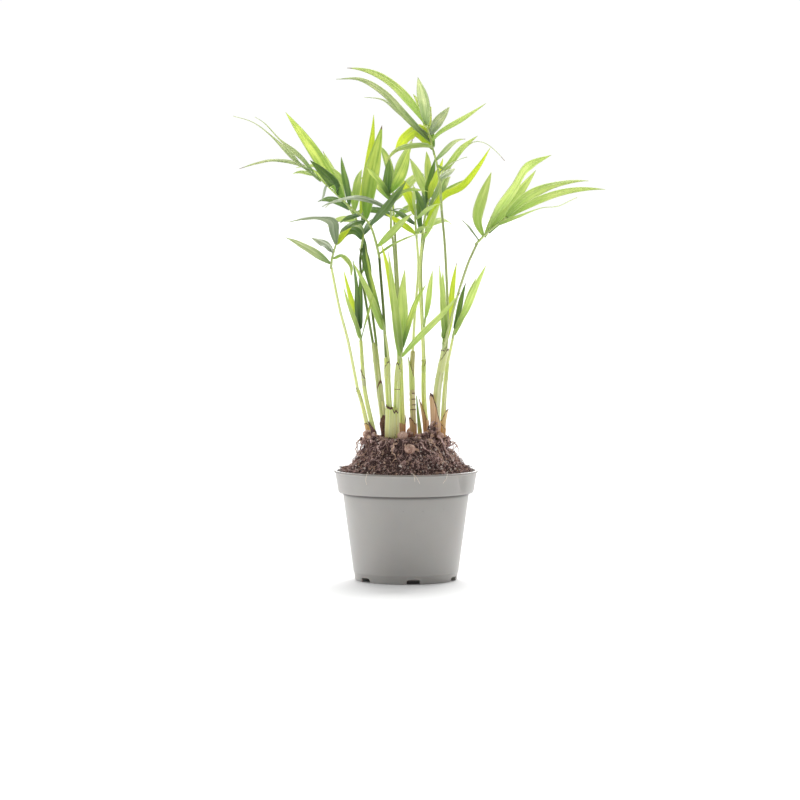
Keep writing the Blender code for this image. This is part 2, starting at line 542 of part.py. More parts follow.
FRONDS = (
    Frond(
        "frond_low_left",
        [(-31.0, -12.1, 131.4), (-30.4, -13, 135.4), (-28.9, -14, 140.4)],
        4,
        [
            Leaf(0.1, (-49.3, -30, 143.4), 3.8, 1.0, -20),
            Leaf(0.6, (-39.3, -4, 143.0), 3.4, 1.0, 30),
            Leaf(0.3, (-22.6, -22, 127.1), 2.8, 2.0, 20),
            Leaf(1, (-49.3, -6, 149.4), 4.2, 8.0, -15, end=True),
            Leaf(1, (-22.6, -6, 147.4), 2.6, 0.6, 10, end=True),
        ],
    ),
    Frond(
        "frond_arch_left",
        [(-18.7, 12.1, 138.8), (-18.3, 12.4, 141.5), (-17.8, 12.8, 144.4)],
        4,
        [
            Leaf(0.6, (-28.4, 8, 140.0), 3.6, 6.0, 0),
            Leaf(0.5, (-18.6, 15.5, 127.4), 1.8, 1.0, 10),
            Leaf(0.1, (-14.6, 5, 123.7), 1.8, 1.0, -10),
            Leaf(1, (-26.0, 20, 149.4), 1.8, 2.0, 0, end=True),
            Leaf(1, (-12.6, 26, 151.0), 2.4, 1.0, 0, end=True),
        ],
    ),
    Frond(
        "frond_folded_left",
        [(-18.8, -6, 100.6), (-19.0, -6.2, 103), (-19.3, -6.4, 105)],
        3,
        [
            Leaf(1, (-22.1, -9, 134.6), 2.8, 0.0, -30, end=True),
            Leaf(1, (-19.3, -5, 132.0), 2.6, 0.0, 30, end=True),
            Leaf(0.2, (-25.9, -14, 123.3), 2.2, -1.0, -30),
            Leaf(0.7, (-26.2, 10, 129.4), 1.8, -1.0, -30),
            Leaf(0.3, (-13.4, -18, 121.0), 1.6, -1.5, 40),
        ],
    ),
    Frond(
        "frond_low_middle",
        [(-8.8, -7.4, 104.4), (-9.2, -7.4, 106.6), (-9.8, -7.2, 109)],
        3,
        [
            Leaf(0.1, (-22.2, -16, 133.3), 3.6, 0.8, 10),
            Leaf(1, (-19.9, 8, 139.2), 1.9, 0.0, 30, end=True),
            Leaf(1, (-16.9, -3, 139.6), 2.4, 0.0, 40, end=True),
        ],
    ),
    Frond(
        "frond_big_left",
        [(-11.1, -3, 135), (-13.4, -2.5, 144.2), (-16.3, -2, 150.1), (-24, -1.4, 156.4), (-38.5, -2, 170.1)],
        15,
        [
            Leaf(0.02, (8.4, -26, 145.5), 2.4, 1.6, 30),
            Leaf(0.13, (2.5, -16, 153.0), 2.8, 0.4, 30),
            Leaf(0.28, (0.0, -30, 166.4), 4.8, 0.0, 25),
            Leaf(0.36, (-10.0, 6, 189.8), 6.6, 0.0, 20),
            Leaf(0.44, (-13.6, 22, 194.8), 3.6, 0.0, -30),
            Leaf(0.52, (-46.4, 16, 172.2), 2.8, 8.0, 0),
            Leaf(0.59, (-26.8, -10, 176.4), 2.6, 0.0, -20),
            Leaf(0.66, (-49.7, -12, 194.8), 5.4, 0.0, -20),
            Leaf(0.60, (-33.9, 12, 155.6), 2.8, 1.0, 20),
            Leaf(0.8, (-35.6, 8, 158.2), 2.4, 0.0, 10),
            Leaf(0.97, (-47.4, 10, 169.7), 1.8, 1.0, 0),
            Leaf(0.92, (-68.1, -26, 171.4), 2.4, 4.6, 0),
            Leaf(1, (-70.2, -32, 192.7), 2.4, 0.0, -20, end=True),
            Leaf(1, (-62.7, -4, 193.1), 2.4, -1.0, 20, end=True),
            Leaf(0.34, (-26.5, -14, 145.5), 3.2, 1.0, -20),
            Leaf(0.44, (-27.6, 4, 149.0), 2.6, 1.0, 10),
        ],
    ),
    Frond(
        "frond_centre",
        [(-6.3, -4.0, 147.4), (-6.3, -4.6, 154.2), (-6.9, -6, 161.3)],
        5,
        [
            Leaf(0.45, (-34.3, -28, 155.9), 3.0, 4.6, -20),
            Leaf(0.5, (0.8, -26, 154.2), 1.8, 1.0, 20),
            Leaf(1, (-6.9, -22, 175.6), 4.2, 0.0, -30, end=True),
            Leaf(1, (0.8, -22, 179.7), 4.6, 0.0, 30, end=True),
            Leaf(0.8, (-16, -44, 172), 3.4, 2.0, -40),
            Leaf(0.8, (9.0, -44, 162), 3.2, 2.0, 40),
        ],
    ),
    Frond(
        "frond_low_centre",
        [(-2.5, -6.9, 91.7), (-2.0, -7.0, 94.6), (-1.4, -7.1, 97.6)],
        4,
        [
            Leaf(0.3, (-7.3, -18, 137.5), 5.0, 0.0, -20),
            Leaf(0.8, (-10.4, -7, 141.0), 2.2, 0.0, -20),
            Leaf(1, (-0.4, -3, 130.0), 4.2, 0.0, 30, end=True),
            Leaf(1, (8.4, -17, 124.0), 2.2, 1.9, 30, end=True),
            Leaf(0.4, (22.2, -28, 120.8), 2.3, 0.8, 20),
        ],
    ),
    Frond(
        "frond_fan_front",
        [(4.4, 4.9, 143.8), (4.0, 4.5, 148.4), (3.8, 4, 153.8)],
        5,
        [
            Leaf(0.1, (-8.6, 5, 153.0), 2.2, 0.6, -10),
            Leaf(0.45, (-5.6, 14, 154.4), 2.2, 0.6, 10),
            Leaf(0.9, (-1.0, 20, 167.2), 3.0, 1.0, -30),
            Leaf(1, (-4.0, 5, 169.3), 3.2, 0.6, -30, end=True),
            Leaf(1, (3.0, -8, 165.0), 2.8, 0.0, 20, end=True),
            Leaf(0.6, (14.4, -30, 157.2), 2.4, 1.6, 30),
            Leaf(0.1, (11.0, -34, 147.0), 2.2, 1.6, 40),
        ],
    ),
    Frond(
        "frond_fan_middle",
        [(6.7, 16.1, 141.0), (7.4, 16.6, 148), (8.6, 17.4, 154), (9.6, 18, 159)],
        7,
        [
            Leaf(0.6, (3.0, 8, 164.6), 1.8, 0.8, -20),
            Leaf(0.2, (4.4, 26, 161.4), 1.8, 0.8, 0),
            Leaf(1, (15.5, 6, 176.0), 4.2, 0.0, 30, end=True),
            Leaf(1, (1.7, 32, 176.4), 3.8, 0.6, -30, end=True),
            Leaf(0.75, (7.2, 46, 170.5), 3.2, 2.0, -60),
            Leaf(0.85, (12.2, 17, 176.0), 2.8, 0.0, 40),
            Leaf(0.4, (35.9, 28, 181.0), 3.6, -1.0, 20),
            Leaf(0.65, (42.6, 46, 175.6), 2.0, 3.0, 20),
            Leaf(0.1, (14.2, 2, 157.2), 2.4, 0.6, 20),
        ],
    ),
    Frond(
        "leaf_thin_right",
        [(7.7, 13.2, 106.2), (8.0, 13.4, 107.8), (8.2, 13.6, 109.4)],
        1,
        [
            Leaf(1, (11.3, 17, 129.2), 2.4, -0.6, 20, end=True),
        ],
    ),
    Frond(
        "frond_tall",
        [(14.8, 1, 155.4), (14.2, 2, 165.1), (13.0, 2.5, 173.1), (11.2, 3, 180.0), (8.6, 3, 190.0)],
        13,
        [
            Leaf(0.2, (19.0, 22, 168.6), 2.0, 1.0, 30),
            Leaf(0.33, (20.9, 30, 172.0), 2.4, 1.0, 40),
            Leaf(0.41, (25.1, -16, 176.4), 2.4, 1.0, 20),
            Leaf(0.50, (30.1, 12, 185.6), 2.8, 0.0, 30),
            Leaf(0.58, (24.2, -28, 183.5), 2.8, 2.0, 30),
            Leaf(0.62, (-8.8, -16, 173.9), 2.8, 5.0, -20),
            Leaf(0.72, (-5.0, 14, 174.0), 6.2, 3.0, 0),
            Leaf(0.80, (33.0, -10, 198.5), 2.4, 0.8, 20),
            Leaf(0.90, (18.6, 28, 198.2), 4.2, 0.0, 40),
            Leaf(0.97, (10.6, 16, 198.0), 2.2, 0.0, 30),
            Leaf(0.84, (-29.3, 14, 209.4), 3.2, 3.6, 0),
            Leaf(0.78, (-17.6, 28, 202.3), 1.8, 3.0, 10),
            Leaf(1, (-24.2, -16, 212.8), 3.2, 6.6, -10, end=True),
            Leaf(1, (4.8, -28, 208.6), 5.0, 1.0, 10, end=True),
            Leaf(0.92, (3.0, 40, 204.0), 3.8, 2.0, -20),
        ],
    ),
    Frond(
        "frond_right",
        [(29.4, -15.1, 141.1), (33.0, -16.5, 144.8), (37.2, -18, 148.4), (41, -19, 151.4)],
        6,
        [
            Leaf(0.02, (22.6, -32, 150.5), 1.8, 1.0, -10),
            Leaf(0.2, (35.5, -2, 170.3), 4.6, 0.0, -20),
            Leaf(0.4, (58.8, -38, 176.8), 3.4, 2.4, 10),
            Leaf(0.58, (53.8, -8, 171.0), 3.6, 1.4, 10),
            Leaf(0.3, (47.2, 8, 166.2), 2.4, 1.0, 0),
            Leaf(1, (74.0, -36, 166.4), 4.4, 4.4, 0, end=True),
            Leaf(1, (82.1, -14, 163.0), 2.8, 3.4, 10, end=True),
            Leaf(0.7, (68.6, -50, 159.7), 2.2, 2.0, 20),
            Leaf(0.4, (52.0, 18, 157.0), 2.4, 2.0, 30),
        ],
        FRONT_RIGHT,
    ),
    Frond(
        "frond_spear_right",
        [(15.6, -4.0, 97.0), (15.5, -4.0, 99), (15.6, -3.9, 101)],
        3,
        [
            Leaf(1, (13.6, -11, 132.1), 3.2, 0.0, -20, end=True),
            Leaf(1, (15.2, -1, 129.0), 2.6, 0.0, 20, end=True),
            Leaf(0.3, (21.4, 8, 132.9), 2.8, 0.0, 30),
        ],
    ),
    Frond(
        "frond_low_right",
        [(19.8, 2.5, 102.0), (20.1, 2.6, 103.6), (20.5, 2.6, 105)],
        2,
        [
            Leaf(1, (25.2, 12, 124.0), 2.0, 0.0, 30, end=True),
            Leaf(1, (33.4, -4, 131.7), 2.9, 0.0, 30, end=True),
            Leaf(0.3, (30.0, 22, 126.0), 2.2, 1.0, 40),
        ],
    ),
    Frond(
        "frond_back_middle",
        [(-5.0, 30.1, 150.4), (-5.5, 33, 157), (-5.5, 36, 164)],
        6,
        [
            Leaf(0.6, (8.0, 60, 170.0), 3.8, 3.0, 60),
            Leaf(0.6, (-20.0, 58, 168.0), 3.8, 3.0, -60),
            Leaf(1, (-11.0, 62, 182.0), 4.2, 2.0, -60, end=True),
            Leaf(1, (3.0, 52, 185.0), 4.2, 1.0, 60, end=True),
            Leaf(0.1, (-24.0, 50, 152.0), 3.0, 3.0, -40),
            Leaf(0.1, (12.0, 52, 154.0), 3.0, 3.0, 40),
        ],
    ),
    Frond(
        "frond_back_left",
        [(-18.9, 28.2, 146.4), (-22, 32, 152), (-26, 35, 158)],
        6,
        [
            Leaf(1, (-44.0, 40, 174.0), 3.4, 1.0, -60, end=True),
            Leaf(1, (-36.0, 60, 180.0), 3.4, 1.0, -50, end=True),
            Leaf(0.7, (-38.0, 50, 158.0), 3.0, 3.0, -40),
            Leaf(0.5, (-19.0, 54, 172.0), 3.4, 2.0, 40),
            Leaf(0.2, (-34.0, 46, 147.0), 2.8, 3.0, -40),
            Leaf(0.1, (-14.0, 46, 160.0), 2.8, 2.0, 40),
        ],
        FRONT_LEFT,
    ),
    Frond(
        "frond_back_right",
        [(8.6, 30.2, 146.4), (10, 33, 152), (12, 37, 159)],
        6,
        [
            Leaf(1, (9.0, 60, 180.0), 3.6, 1.0, -60, end=True),
            Leaf(1, (21.0, 58, 178.0), 3.6, 1.0, 50, end=True),
            Leaf(0.7, (1.0, 62, 158.0), 3.0, 3.0, -40),
            Leaf(0.6, (27.0, 52, 168.0), 3.0, 2.0, 40),
            Leaf(0.1, (20.0, 54, 148.0), 2.6, 3.0, 40),
        ],
        FRONT_RIGHT,
    ),
)

SEEDS = (
    ("seed_left", -16.0, -3.6, SEED_RADIUS),
    ("seed_front", -1.4, -12.6, SEED_RADIUS),
    ("seed_middle", 1.4, -8.0, SEED_RADIUS * 0.9),
    ("seed_right", 14.2, -8.6, SEED_RADIUS * 0.8),
    ("seed_back", 2.4, 14.4, SEED_RADIUS),
)


def clear_scene():
    """Removes whatever objects the scene holds."""
    for found in list(bpy.data.objects):
        bpy.data.objects.remove(found, do_unlink=True)


def main():
    """Builds the pot, the bed, the seeds, the stems, the stalks and the fronds."""
    clear_scene()
    make_pot()
    make_bed()
    for name, x, y, size in SEEDS:
        make_seed(name, x, y, size)
    for stem in STEMS:
        make_limb(stem, STEM_SKIN, STEM_SIDES)
    for stalk in STALKS:
        make_limb(stalk, STALK_SKIN, STALK_SIDES)
    for frond in FRONDS:
        make_frond(frond)


main()
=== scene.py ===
"""The looks of a clump of young parlour palms in its small round nursery pot.

Shapes are worked out in millimetres in the frame of the solids: +Z up, +X right, -Y to the front, with the
origin in the middle of the pot's flat underside. Each finished mesh is written in metres. Every leaflet
starts and ends where its solid does, and adds the fold, the pleats, the wave and the leaf's true outline.
"""

import logging
import math
from collections.abc import Sequence
from dataclasses import dataclass, field
from enum import Enum
from functools import cache

import bmesh
import bpy
import numpy as np
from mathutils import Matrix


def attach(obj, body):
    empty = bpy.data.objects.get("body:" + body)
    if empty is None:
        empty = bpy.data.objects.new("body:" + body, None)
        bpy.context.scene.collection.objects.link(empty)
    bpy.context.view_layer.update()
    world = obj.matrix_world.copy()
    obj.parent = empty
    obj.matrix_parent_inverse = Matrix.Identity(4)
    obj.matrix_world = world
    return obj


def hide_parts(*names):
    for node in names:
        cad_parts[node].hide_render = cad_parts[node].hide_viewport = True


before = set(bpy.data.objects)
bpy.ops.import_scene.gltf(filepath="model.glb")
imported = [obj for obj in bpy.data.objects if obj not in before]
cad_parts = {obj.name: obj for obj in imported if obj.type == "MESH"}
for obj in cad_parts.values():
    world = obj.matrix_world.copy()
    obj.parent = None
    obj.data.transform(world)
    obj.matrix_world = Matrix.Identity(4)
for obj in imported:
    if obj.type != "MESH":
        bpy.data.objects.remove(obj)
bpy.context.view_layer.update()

logging.basicConfig(level=logging.INFO, format="%(message)s")
LOG = logging.getLogger("palm")

Array = np.ndarray
Random = np.random.Generator
Object = bpy.types.Object
Material = bpy.types.Material
Tree = bpy.types.NodeTree
Socket = bpy.types.NodeSocket
Point = Colour = tuple[float, float, float]

MM = 0.001
BODY = "root"
SEED = 20
TINY = 1e-9
TURN = 2 * math.pi
UP = np.array([0.0, 0.0, 1.0])
FRONT: Point = (0.0, -1.0, 0.25)
FRONT_LEFT: Point = (-0.55, -0.85, 0.25)
FRONT_RIGHT: Point = (0.55, -0.85, 0.25)
BED_TOP = 59.3
NOISE_STEPS = np.array([127.1, 311.7, 74.7])
NOISE_SEED_STEP = 19.19
NOISE_SPREAD = 43758.5453


def unit(vectors: Array) -> Array:
    """Vectors at length one, with the axes last: each is divided by its length."""
    vectors = np.asarray(vectors, float)
    return vectors / np.maximum(np.linalg.norm(vectors, axis=-1, keepdims=True), TINY)


def turns(count: int) -> Array:
    """Angles at even steps round the circle, in radians."""
    return np.arange(count) * TURN / count


def polar(radius: Array | float, angle: Array, height: Array | float) -> Array:
    """Places (r cos a, r sin a, h) at a distance from the upright axis and an angle about it, axes last."""
    return np.stack(np.broadcast_arrays(radius * np.cos(angle), radius * np.sin(angle), height), -1)


def smoothstep(value: Array, low: float, high: float) -> Array:
    """A smooth rise from 0 at low to 1 at high, by 3t^2 - 2t^3."""
    t = np.clip((np.asarray(value, float) - low) / (high - low), 0.0, 1.0)
    return t * t * (3 - 2 * t)


def smooth_course(points: Sequence[Point], per_span: int = 3) -> Array:
    """A Catmull-Rom curve: each span blends its two ends and their neighbours by cubic weights.

    Args:
        points: The points that the curve passes through.
        per_span: Steps for each span.

    Returns:
        The curve's points, as rows.
    """
    given = np.asarray(points, float)
    if len(given) == 2:
        given = np.array([given[0], given.mean(axis=0), given[1]])
    padded = np.vstack([2 * given[0] - given[1], given, 2 * given[-1] - given[-2]])
    a, b, c, d = (padded[k : len(padded) - 3 + k][:, None, :] for k in range(4))
    t = (np.arange(per_span) / per_span)[None, :, None]
    cube = (3 * b - a - 3 * c + d) * t**3
    square = (2 * a - 5 * b + 4 * c - d) * t**2
    course = 0.5 * (2 * b + (c - a) * t + square + cube)
    return np.vstack([course.reshape(-1, 3), given[-1]])


def along(course: Array, shares: Array | float) -> Array:
    """The points at some shares of a course's length.

    Args:
        course: The course's points, as rows.
        shares: The shares, from 0 to 1.

    Returns:
        One point for one share, and rows for many.
    """
    steps = np.linalg.norm(np.diff(course, axis=0), axis=1)
    reach = np.concatenate([[0.0], np.cumsum(steps)])
    at = np.clip(shares, 0.0, 1.0) * reach[-1]
    return np.stack([np.interp(at, reach, course[:, axis]) for axis in range(3)], axis=-1)


def value_noise(points: Array, cell: float, seed: float) -> Array:
    """Smooth noise from -1 to 1: a random value at each corner of a cubic lattice, blended between corners.

    Args:
        points: Places in millimetres, with the axes last.
        cell: The lattice's step in millimetres.
        seed: Picks the random values.

    Returns:
        One value for each place.
    """
    scaled = np.asarray(points, float) / cell
    low = np.floor(scaled)
    t = smoothstep(scaled - low, 0, 1)
    total = np.zeros(scaled.shape[:-1])
    for corner in np.ndindex(2, 2, 2):
        value = np.sin((low + np.array(corner)) @ NOISE_STEPS + NOISE_SEED_STEP * seed) * NOISE_SPREAD
        weight = np.prod(np.where(np.array(corner) == 1, t, 1 - t), axis=-1)
        total += weight * (value - np.floor(value))
    return total * 2 - 1


@dataclass
class Shape:
    """A mesh in the making: closed tubes and shells are added to it as arrays, and it becomes one object."""

    points: list[Array] = field(default_factory=list)
    faces: list[Array] = field(default_factory=list)
    maps: dict[str, list[Array]] = field(default_factory=lambda: {"pattern": [], "reach": []})
    skins: list[Array] = field(default_factory=list)
    count: int = 0

    def add(self, points: Array, *lots: tuple[Array, Array, Array, Array]) -> None:
        """Adds points and lots of faces on them.

        Args:
            points: The points, as rows, in millimetres.
            lots: Of each lot, the faces as rows of corners, a material number for each face, and for each
                corner of each face its place on the pattern map and on the reach map.
        """
        self.points.append(points)
        for faces, skin, pattern, reach in lots:
            self.faces.append(faces + self.count)
            self.skins.append(np.asarray(skin, np.int32))
            self.maps["pattern"].append(pattern.reshape(-1, 2))
            self.maps["reach"].append(reach.reshape(-1, 2))
        self.count += len(points)

    def add_tube(
        self, rings: Array, across: Array, lengthwise: Array, skin: Array | int = 0, lot: float = 0.5
    ) -> None:
        """Adds a closed tube: quads between one ring and the next, and a fan of triangles over each end.

        The quads of the second half of each ring start one corner later, so that both sides of a thin blade
        are cut into triangles along the same lines and don't cross where it is bent. The reach map holds the
        share of the way along the tube, and the tube's lot.

        Args:
            rings: Rings of points, as an array of ring, corner and axis, each going round its heading.
            across: The pattern's sideways place for each corner of a ring.
            lengthwise: The pattern's lengthwise place for each ring.
            skin: A material number for all, for each band between two rings, or for each quad of each band.
            lot: The tube's random lot, from 0 to 1, by which its colour differs a little.
        """
        bands, corners = len(rings) - 1, rings.shape[1]
        i, j = (index.ravel() for index in np.indices((bands, corners)))
        after = (j + 1) % corners
        square = ((i, j), (i, after), (i + 1, after), (i + 1, j))
        quads = np.stack([ring * corners + corner for ring, corner in square], 1)
        places = np.stack([np.stack([across[corner], lengthwise[ring]], -1) for ring, corner in square], 1)
        under = j >= corners // 2
        quads[under], places[under] = np.roll(quads[under], 1, axis=1), np.roll(places[under], 1, axis=1)
        skin = np.asarray(skin)
        skin = np.broadcast_to(skin.reshape(len(skin), -1) if skin.ndim else skin, (bands, corners))
        around, top = np.arange(corners), bands * corners
        beyond = (around + 1) % corners
        foot_middle, top_middle = (np.full(corners, rings.size // 3 + extra) for extra in range(2))
        fans = np.vstack([
            np.stack([beyond, around, foot_middle], 1), np.stack([top + around, top + beyond, top_middle], 1)
        ])
        ends = [np.stack([across, np.full(corners, lengthwise[k])], -1) for k in (0, -1)]
        fan_places = np.repeat(np.vstack(ends)[:, None], 3, 1)
        fan_skin = np.repeat([skin[0].min(), skin[-1].min()], corners)
        span = max(abs(lengthwise[-1] - lengthwise[0]), TINY)
        lots = []
        for faces, numbers, pattern in ((quads, skin.ravel(), places), (fans, fan_skin, fan_places)):
            share = np.abs(pattern[..., 1] - lengthwise[0]) / span
            lots.append((faces, numbers, pattern, np.stack([share, np.full(share.shape, lot)], -1)))
        self.add(np.vstack([rings.reshape(-1, 3), rings[0].mean(axis=0), rings[-1].mean(axis=0)]), *lots)

    def add_cord(self, course: Array, radii: Array, sides: int, skin: Array | int) -> None:
        """Adds a round limb: at each point of the course a ring of that radius, square to the heading.

        The rings' own directions don't turn suddenly: both are crossed from the heading and one fixed guide.

        Args:
            course: The limb's points, as rows.
            radii: Its radius at each point.
            sides: Corners for each ring.
            skin: Its material numbers, as for a tube.
        """
        heading = unit(np.gradient(course, axis=0))
        guide = np.array([1.0, 0.0, 0.0] if abs(heading[0, 0]) < 0.8 else [0.0, 1.0, 0.0])
        side = unit(np.cross(np.cross(heading, guide), heading))
        third = np.cross(heading, side)
        angle = turns(sides)
        ring = side[:, None] * np.cos(angle)[None, :, None] + third[:, None] * np.sin(angle)[None, :, None]
        rings = course[:, None] + ring * radii[:, None, None]
        self.add_tube(rings, angle / TURN, np.linspace(0, 1, len(course)), skin)

    def build(self, name: str, materials: Sequence[Material]) -> Object:
        """Makes the object, in metres, smooth, with its two maps.

        Args:
            name: The object's name.
            materials: Its materials, in the order of the material numbers.

        Returns:
            The object, linked to the scene.
        """
        points = np.vstack(self.points) * MM
        sizes = np.concatenate([np.full(len(faces), faces.shape[1], np.int32) for faces in self.faces])
        corners = np.concatenate([faces.ravel() for faces in self.faces]).astype(np.int32)
        mesh = bpy.data.meshes.new(name)
        mesh.vertices.add(len(points))
        mesh.vertices.foreach_set("co", points.astype(np.float32).ravel())
        mesh.loops.add(len(corners))
        mesh.loops.foreach_set("vertex_index", corners)
        mesh.polygons.add(len(sizes))
        mesh.polygons.foreach_set("loop_start", np.concatenate([[0], np.cumsum(sizes)[:-1]]).astype(np.int32))
        mesh.polygons.foreach_set("material_index", np.concatenate(self.skins))
        for key, places in self.maps.items():
            layer = mesh.uv_layers.new(name=key)
            layer.uv.foreach_set("vector", np.concatenate(places).astype(np.float32).ravel())
        mesh.update(calc_edges=True)
        mesh.validate()
        mesh.shade_smooth()
        for material in materials:
            mesh.materials.append(material)
        return linked(name, mesh)


def linked(name: str, data: bpy.types.ID) -> Object:
    """Makes an object of a mesh, a light or a camera and links it to the scene.

    Args:
        name: The object's name.
        data: The mesh, the light or the camera.

    Returns:
        The object.
    """
    made = bpy.data.objects.new(name, data)
    bpy.context.scene.collection.objects.link(made)
    return made


def place(piece: Object, slot: str, *nodes: str) -> Object:
    """Seats a finished piece on the body and hides the solids that it stands for.

    Args:
        piece: The finished object.
        slot: The record's material slot; not used.
        nodes: The solids that it replaces.

    Returns:
        The same object.
    """
    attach(piece, BODY)
    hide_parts(*nodes)
    LOG.info("%s: %d faces", piece.name, len(piece.data.polygons))
    return piece


def linear(red: float, green: float, blue: float) -> tuple[float, float, float, float]:
    """A colour as seen on a screen, from 0 to 1, as the linear colour that a shader takes."""
    return (*(((c + 0.055) / 1.055) ** 2.4 if c > 0.04045 else c / 12.92 for c in (red, green, blue)), 1.0)


class Paint:
    """A node tree with short ways to add nodes and to give their inputs a value or a link."""

    def __init__(self, tree: Tree) -> None:
        """Keeps the tree."""
        self.tree = tree

    def feed(self, node: bpy.types.Node, values: dict) -> None:
        """Gives each named input of a node its value, or joins it to its socket.

        Args:
            node: The node.
            values: The value or socket for each input, by name or number.
        """
        for key, value in values.items():
            if isinstance(value, Socket):
                self.tree.links.new(value, node.inputs[key])
            else:
                node.inputs[key].default_value = value

    def node(self, kind: str, values: dict, **settings: object) -> Sequence[Socket]:
        """Adds a node and gives its outputs.

        Args:
            kind: The node's type, without the words that all of them start with.
            values: A value or a socket for each input that isn't left as it is, by name or number.
            settings: The node's own properties.

        Returns:
            The node's outputs.
        """
        made = self.tree.nodes.new(f"ShaderNode{kind}")
        for key, value in settings.items():
            setattr(made, key, value)
        self.feed(made, values)
        return made.outputs

    def math(self, operation: str, *values: Socket | float) -> Socket:
        """The outcome of an operation on numbers and sockets."""
        return self.node("Math", dict(enumerate(values)), operation=operation)[0]

    def ramp(self, value: Socket, low: Socket | float, high: Socket | float) -> Socket:
        """A smooth rise from 0 where a value is low to 1 where it is high."""
        values = {"Value": value, "From Min": low, "From Max": high}
        return self.node("MapRange", values, interpolation_type="SMOOTHSTEP")[0]

    def noise(self, spot: Socket, scale: Socket | float, detail: float) -> Socket:
        """Cloudy noise at a place."""
        return self.node("TexNoise", {"Vector": spot, "Scale": scale, "Detail": detail})[0]

    def parts(self, spot: Socket) -> Sequence[Socket]:
        """The three numbers of a place."""
        return self.node("SeparateXYZ", {0: spot})

    def spot(self) -> Socket:
        """The place on the object."""
        return self.node("TexCoord", {})["Object"]

    def layers(self, base: Socket | tuple, *coats: tuple[Socket, float, Colour]) -> Socket:
        """Lays colours over a base, each blended in by a mask times a share.

        Args:
            base: The colour or socket to start from.
            coats: The mask, the share and the colour of each layer, from the lowest up.

        Returns:
            The blended colour's socket.
        """
        for mask, share, colour in coats:
            values = {0: self.math("MULTIPLY", mask, share), 6: base, 7: linear(*colour)}
            base = self.node("Mix", values, data_type="RGBA")[2]
        return base


class Effect(Paint):
    """An effect that several materials share: a node group with named numbers going in and out."""

    def __init__(self, name: str, inputs: dict[str, float], outputs: Sequence[str]) -> None:
        """Starts the group with its sockets and its two end nodes.

        Args:
            name: The group's name.
            inputs: Its inputs, with their values where none is given.
            outputs: The names of its outputs.
        """
        super().__init__(bpy.data.node_groups.new(name, "ShaderNodeTree"))
        make = self.tree.interface.new_socket
        for key, value in inputs.items():
            make(key, in_out="INPUT", socket_type="NodeSocketFloat").default_value = value
        for key in outputs:
            make(key, in_out="OUTPUT", socket_type="NodeSocketFloat")
        self.given = self.tree.nodes.new("NodeGroupInput").outputs
        self.end = self.tree.nodes.new("NodeGroupOutput")

    def finish(self, **results: Socket) -> Tree:
        """Joins the results to the group's outputs and gives the group."""
        self.feed(self.end, results)
        return self.tree

    def on_map(self, name: str) -> Sequence[Socket]:
        """The place on one of the mesh's maps."""
        return self.parts(self.node("UVMap", {}, uv_map=name)[0])


@cache
def vein_effect() -> Tree:
    """Lengthwise lines on the pattern map, fine and coarse, with the lines of the midrib and the two edges.
    The edge line is the leaf's pale margin and also painted glare of backlight at the edge.

    A line is noise at (place across times the count, place along, lot), so that no two leaflets share their
    lines. The midrib and the edge are ramps of the distance from the middle of the map.

    Returns:
        The group.
    """
    effect = Effect("veins", {"Count": 30.0, "Length": 1.2}, ("Lines", "Bands", "Midrib", "MarginAndGlare"))
    across, lengthwise, _ = effect.on_map("pattern")
    lengthwise = effect.math("MULTIPLY", lengthwise, effect.given["Length"])
    apart = effect.math("MULTIPLY", effect.on_map("reach")[1], 37.0)
    lines = {}
    for name, share, low, high in (("Lines", 1.0, 0.36, 0.64), ("Bands", 0.4, 0.42, 0.60)):
        wide = effect.math("MULTIPLY", effect.math("MULTIPLY", across, effect.given["Count"]), share)
        spot = effect.node("CombineXYZ", {0: wide, 1: lengthwise, 2: apart})[0]
        lines[name] = effect.ramp(effect.noise(spot, 1.0, 1.0), low, high)
    away = effect.math("ABSOLUTE", effect.math("SUBTRACT", across, 0.5))
    midrib = effect.math("SUBTRACT", 1.0, effect.ramp(away, 0.02, 0.06))
    return effect.finish(**lines, Midrib=midrib, MarginAndGlare=effect.ramp(away, 0.36, 0.50))


@cache
def reach_effect() -> Tree:
    """How near a place is to its leaflet's foot and to its tip, each from 0 to 1.

    Returns:
        The group.
    """
    effect = Effect("reach", {"Start": 0.0, "End": 0.5}, ("Foot", "Tip"))
    share = effect.on_map("reach")[0]
    foot = effect.ramp(share, effect.given["End"], effect.given["Start"])
    return effect.finish(Foot=foot, Tip=effect.ramp(share, 0.45, 0.95))


@cache
def mottle_effect() -> Tree:
    """Soft patches by place on the object: coarse noise sharpened to a mask from 0 to 1, and finer noise.

    Returns:
        The group.
    """
    effect = Effect("mottle", {"Scale": 200.0, "Sharpness": 0.15}, ("Mask", "Fine"))
    spot, scale, sharpness = effect.spot(), effect.given["Scale"], effect.given["Sharpness"]
    low, high = (effect.math(sign, 0.5, sharpness) for sign in ("SUBTRACT", "ADD"))
    coarse = effect.noise(spot, scale, 3.0)
    fine = effect.noise(spot, effect.math("MULTIPLY", scale, 5.0), 4.0)
    mask = effect.node("MapRange", {"Value": coarse, "From Min": low, "From Max": high})[0]
    return effect.finish(Mask=mask, Fine=fine)


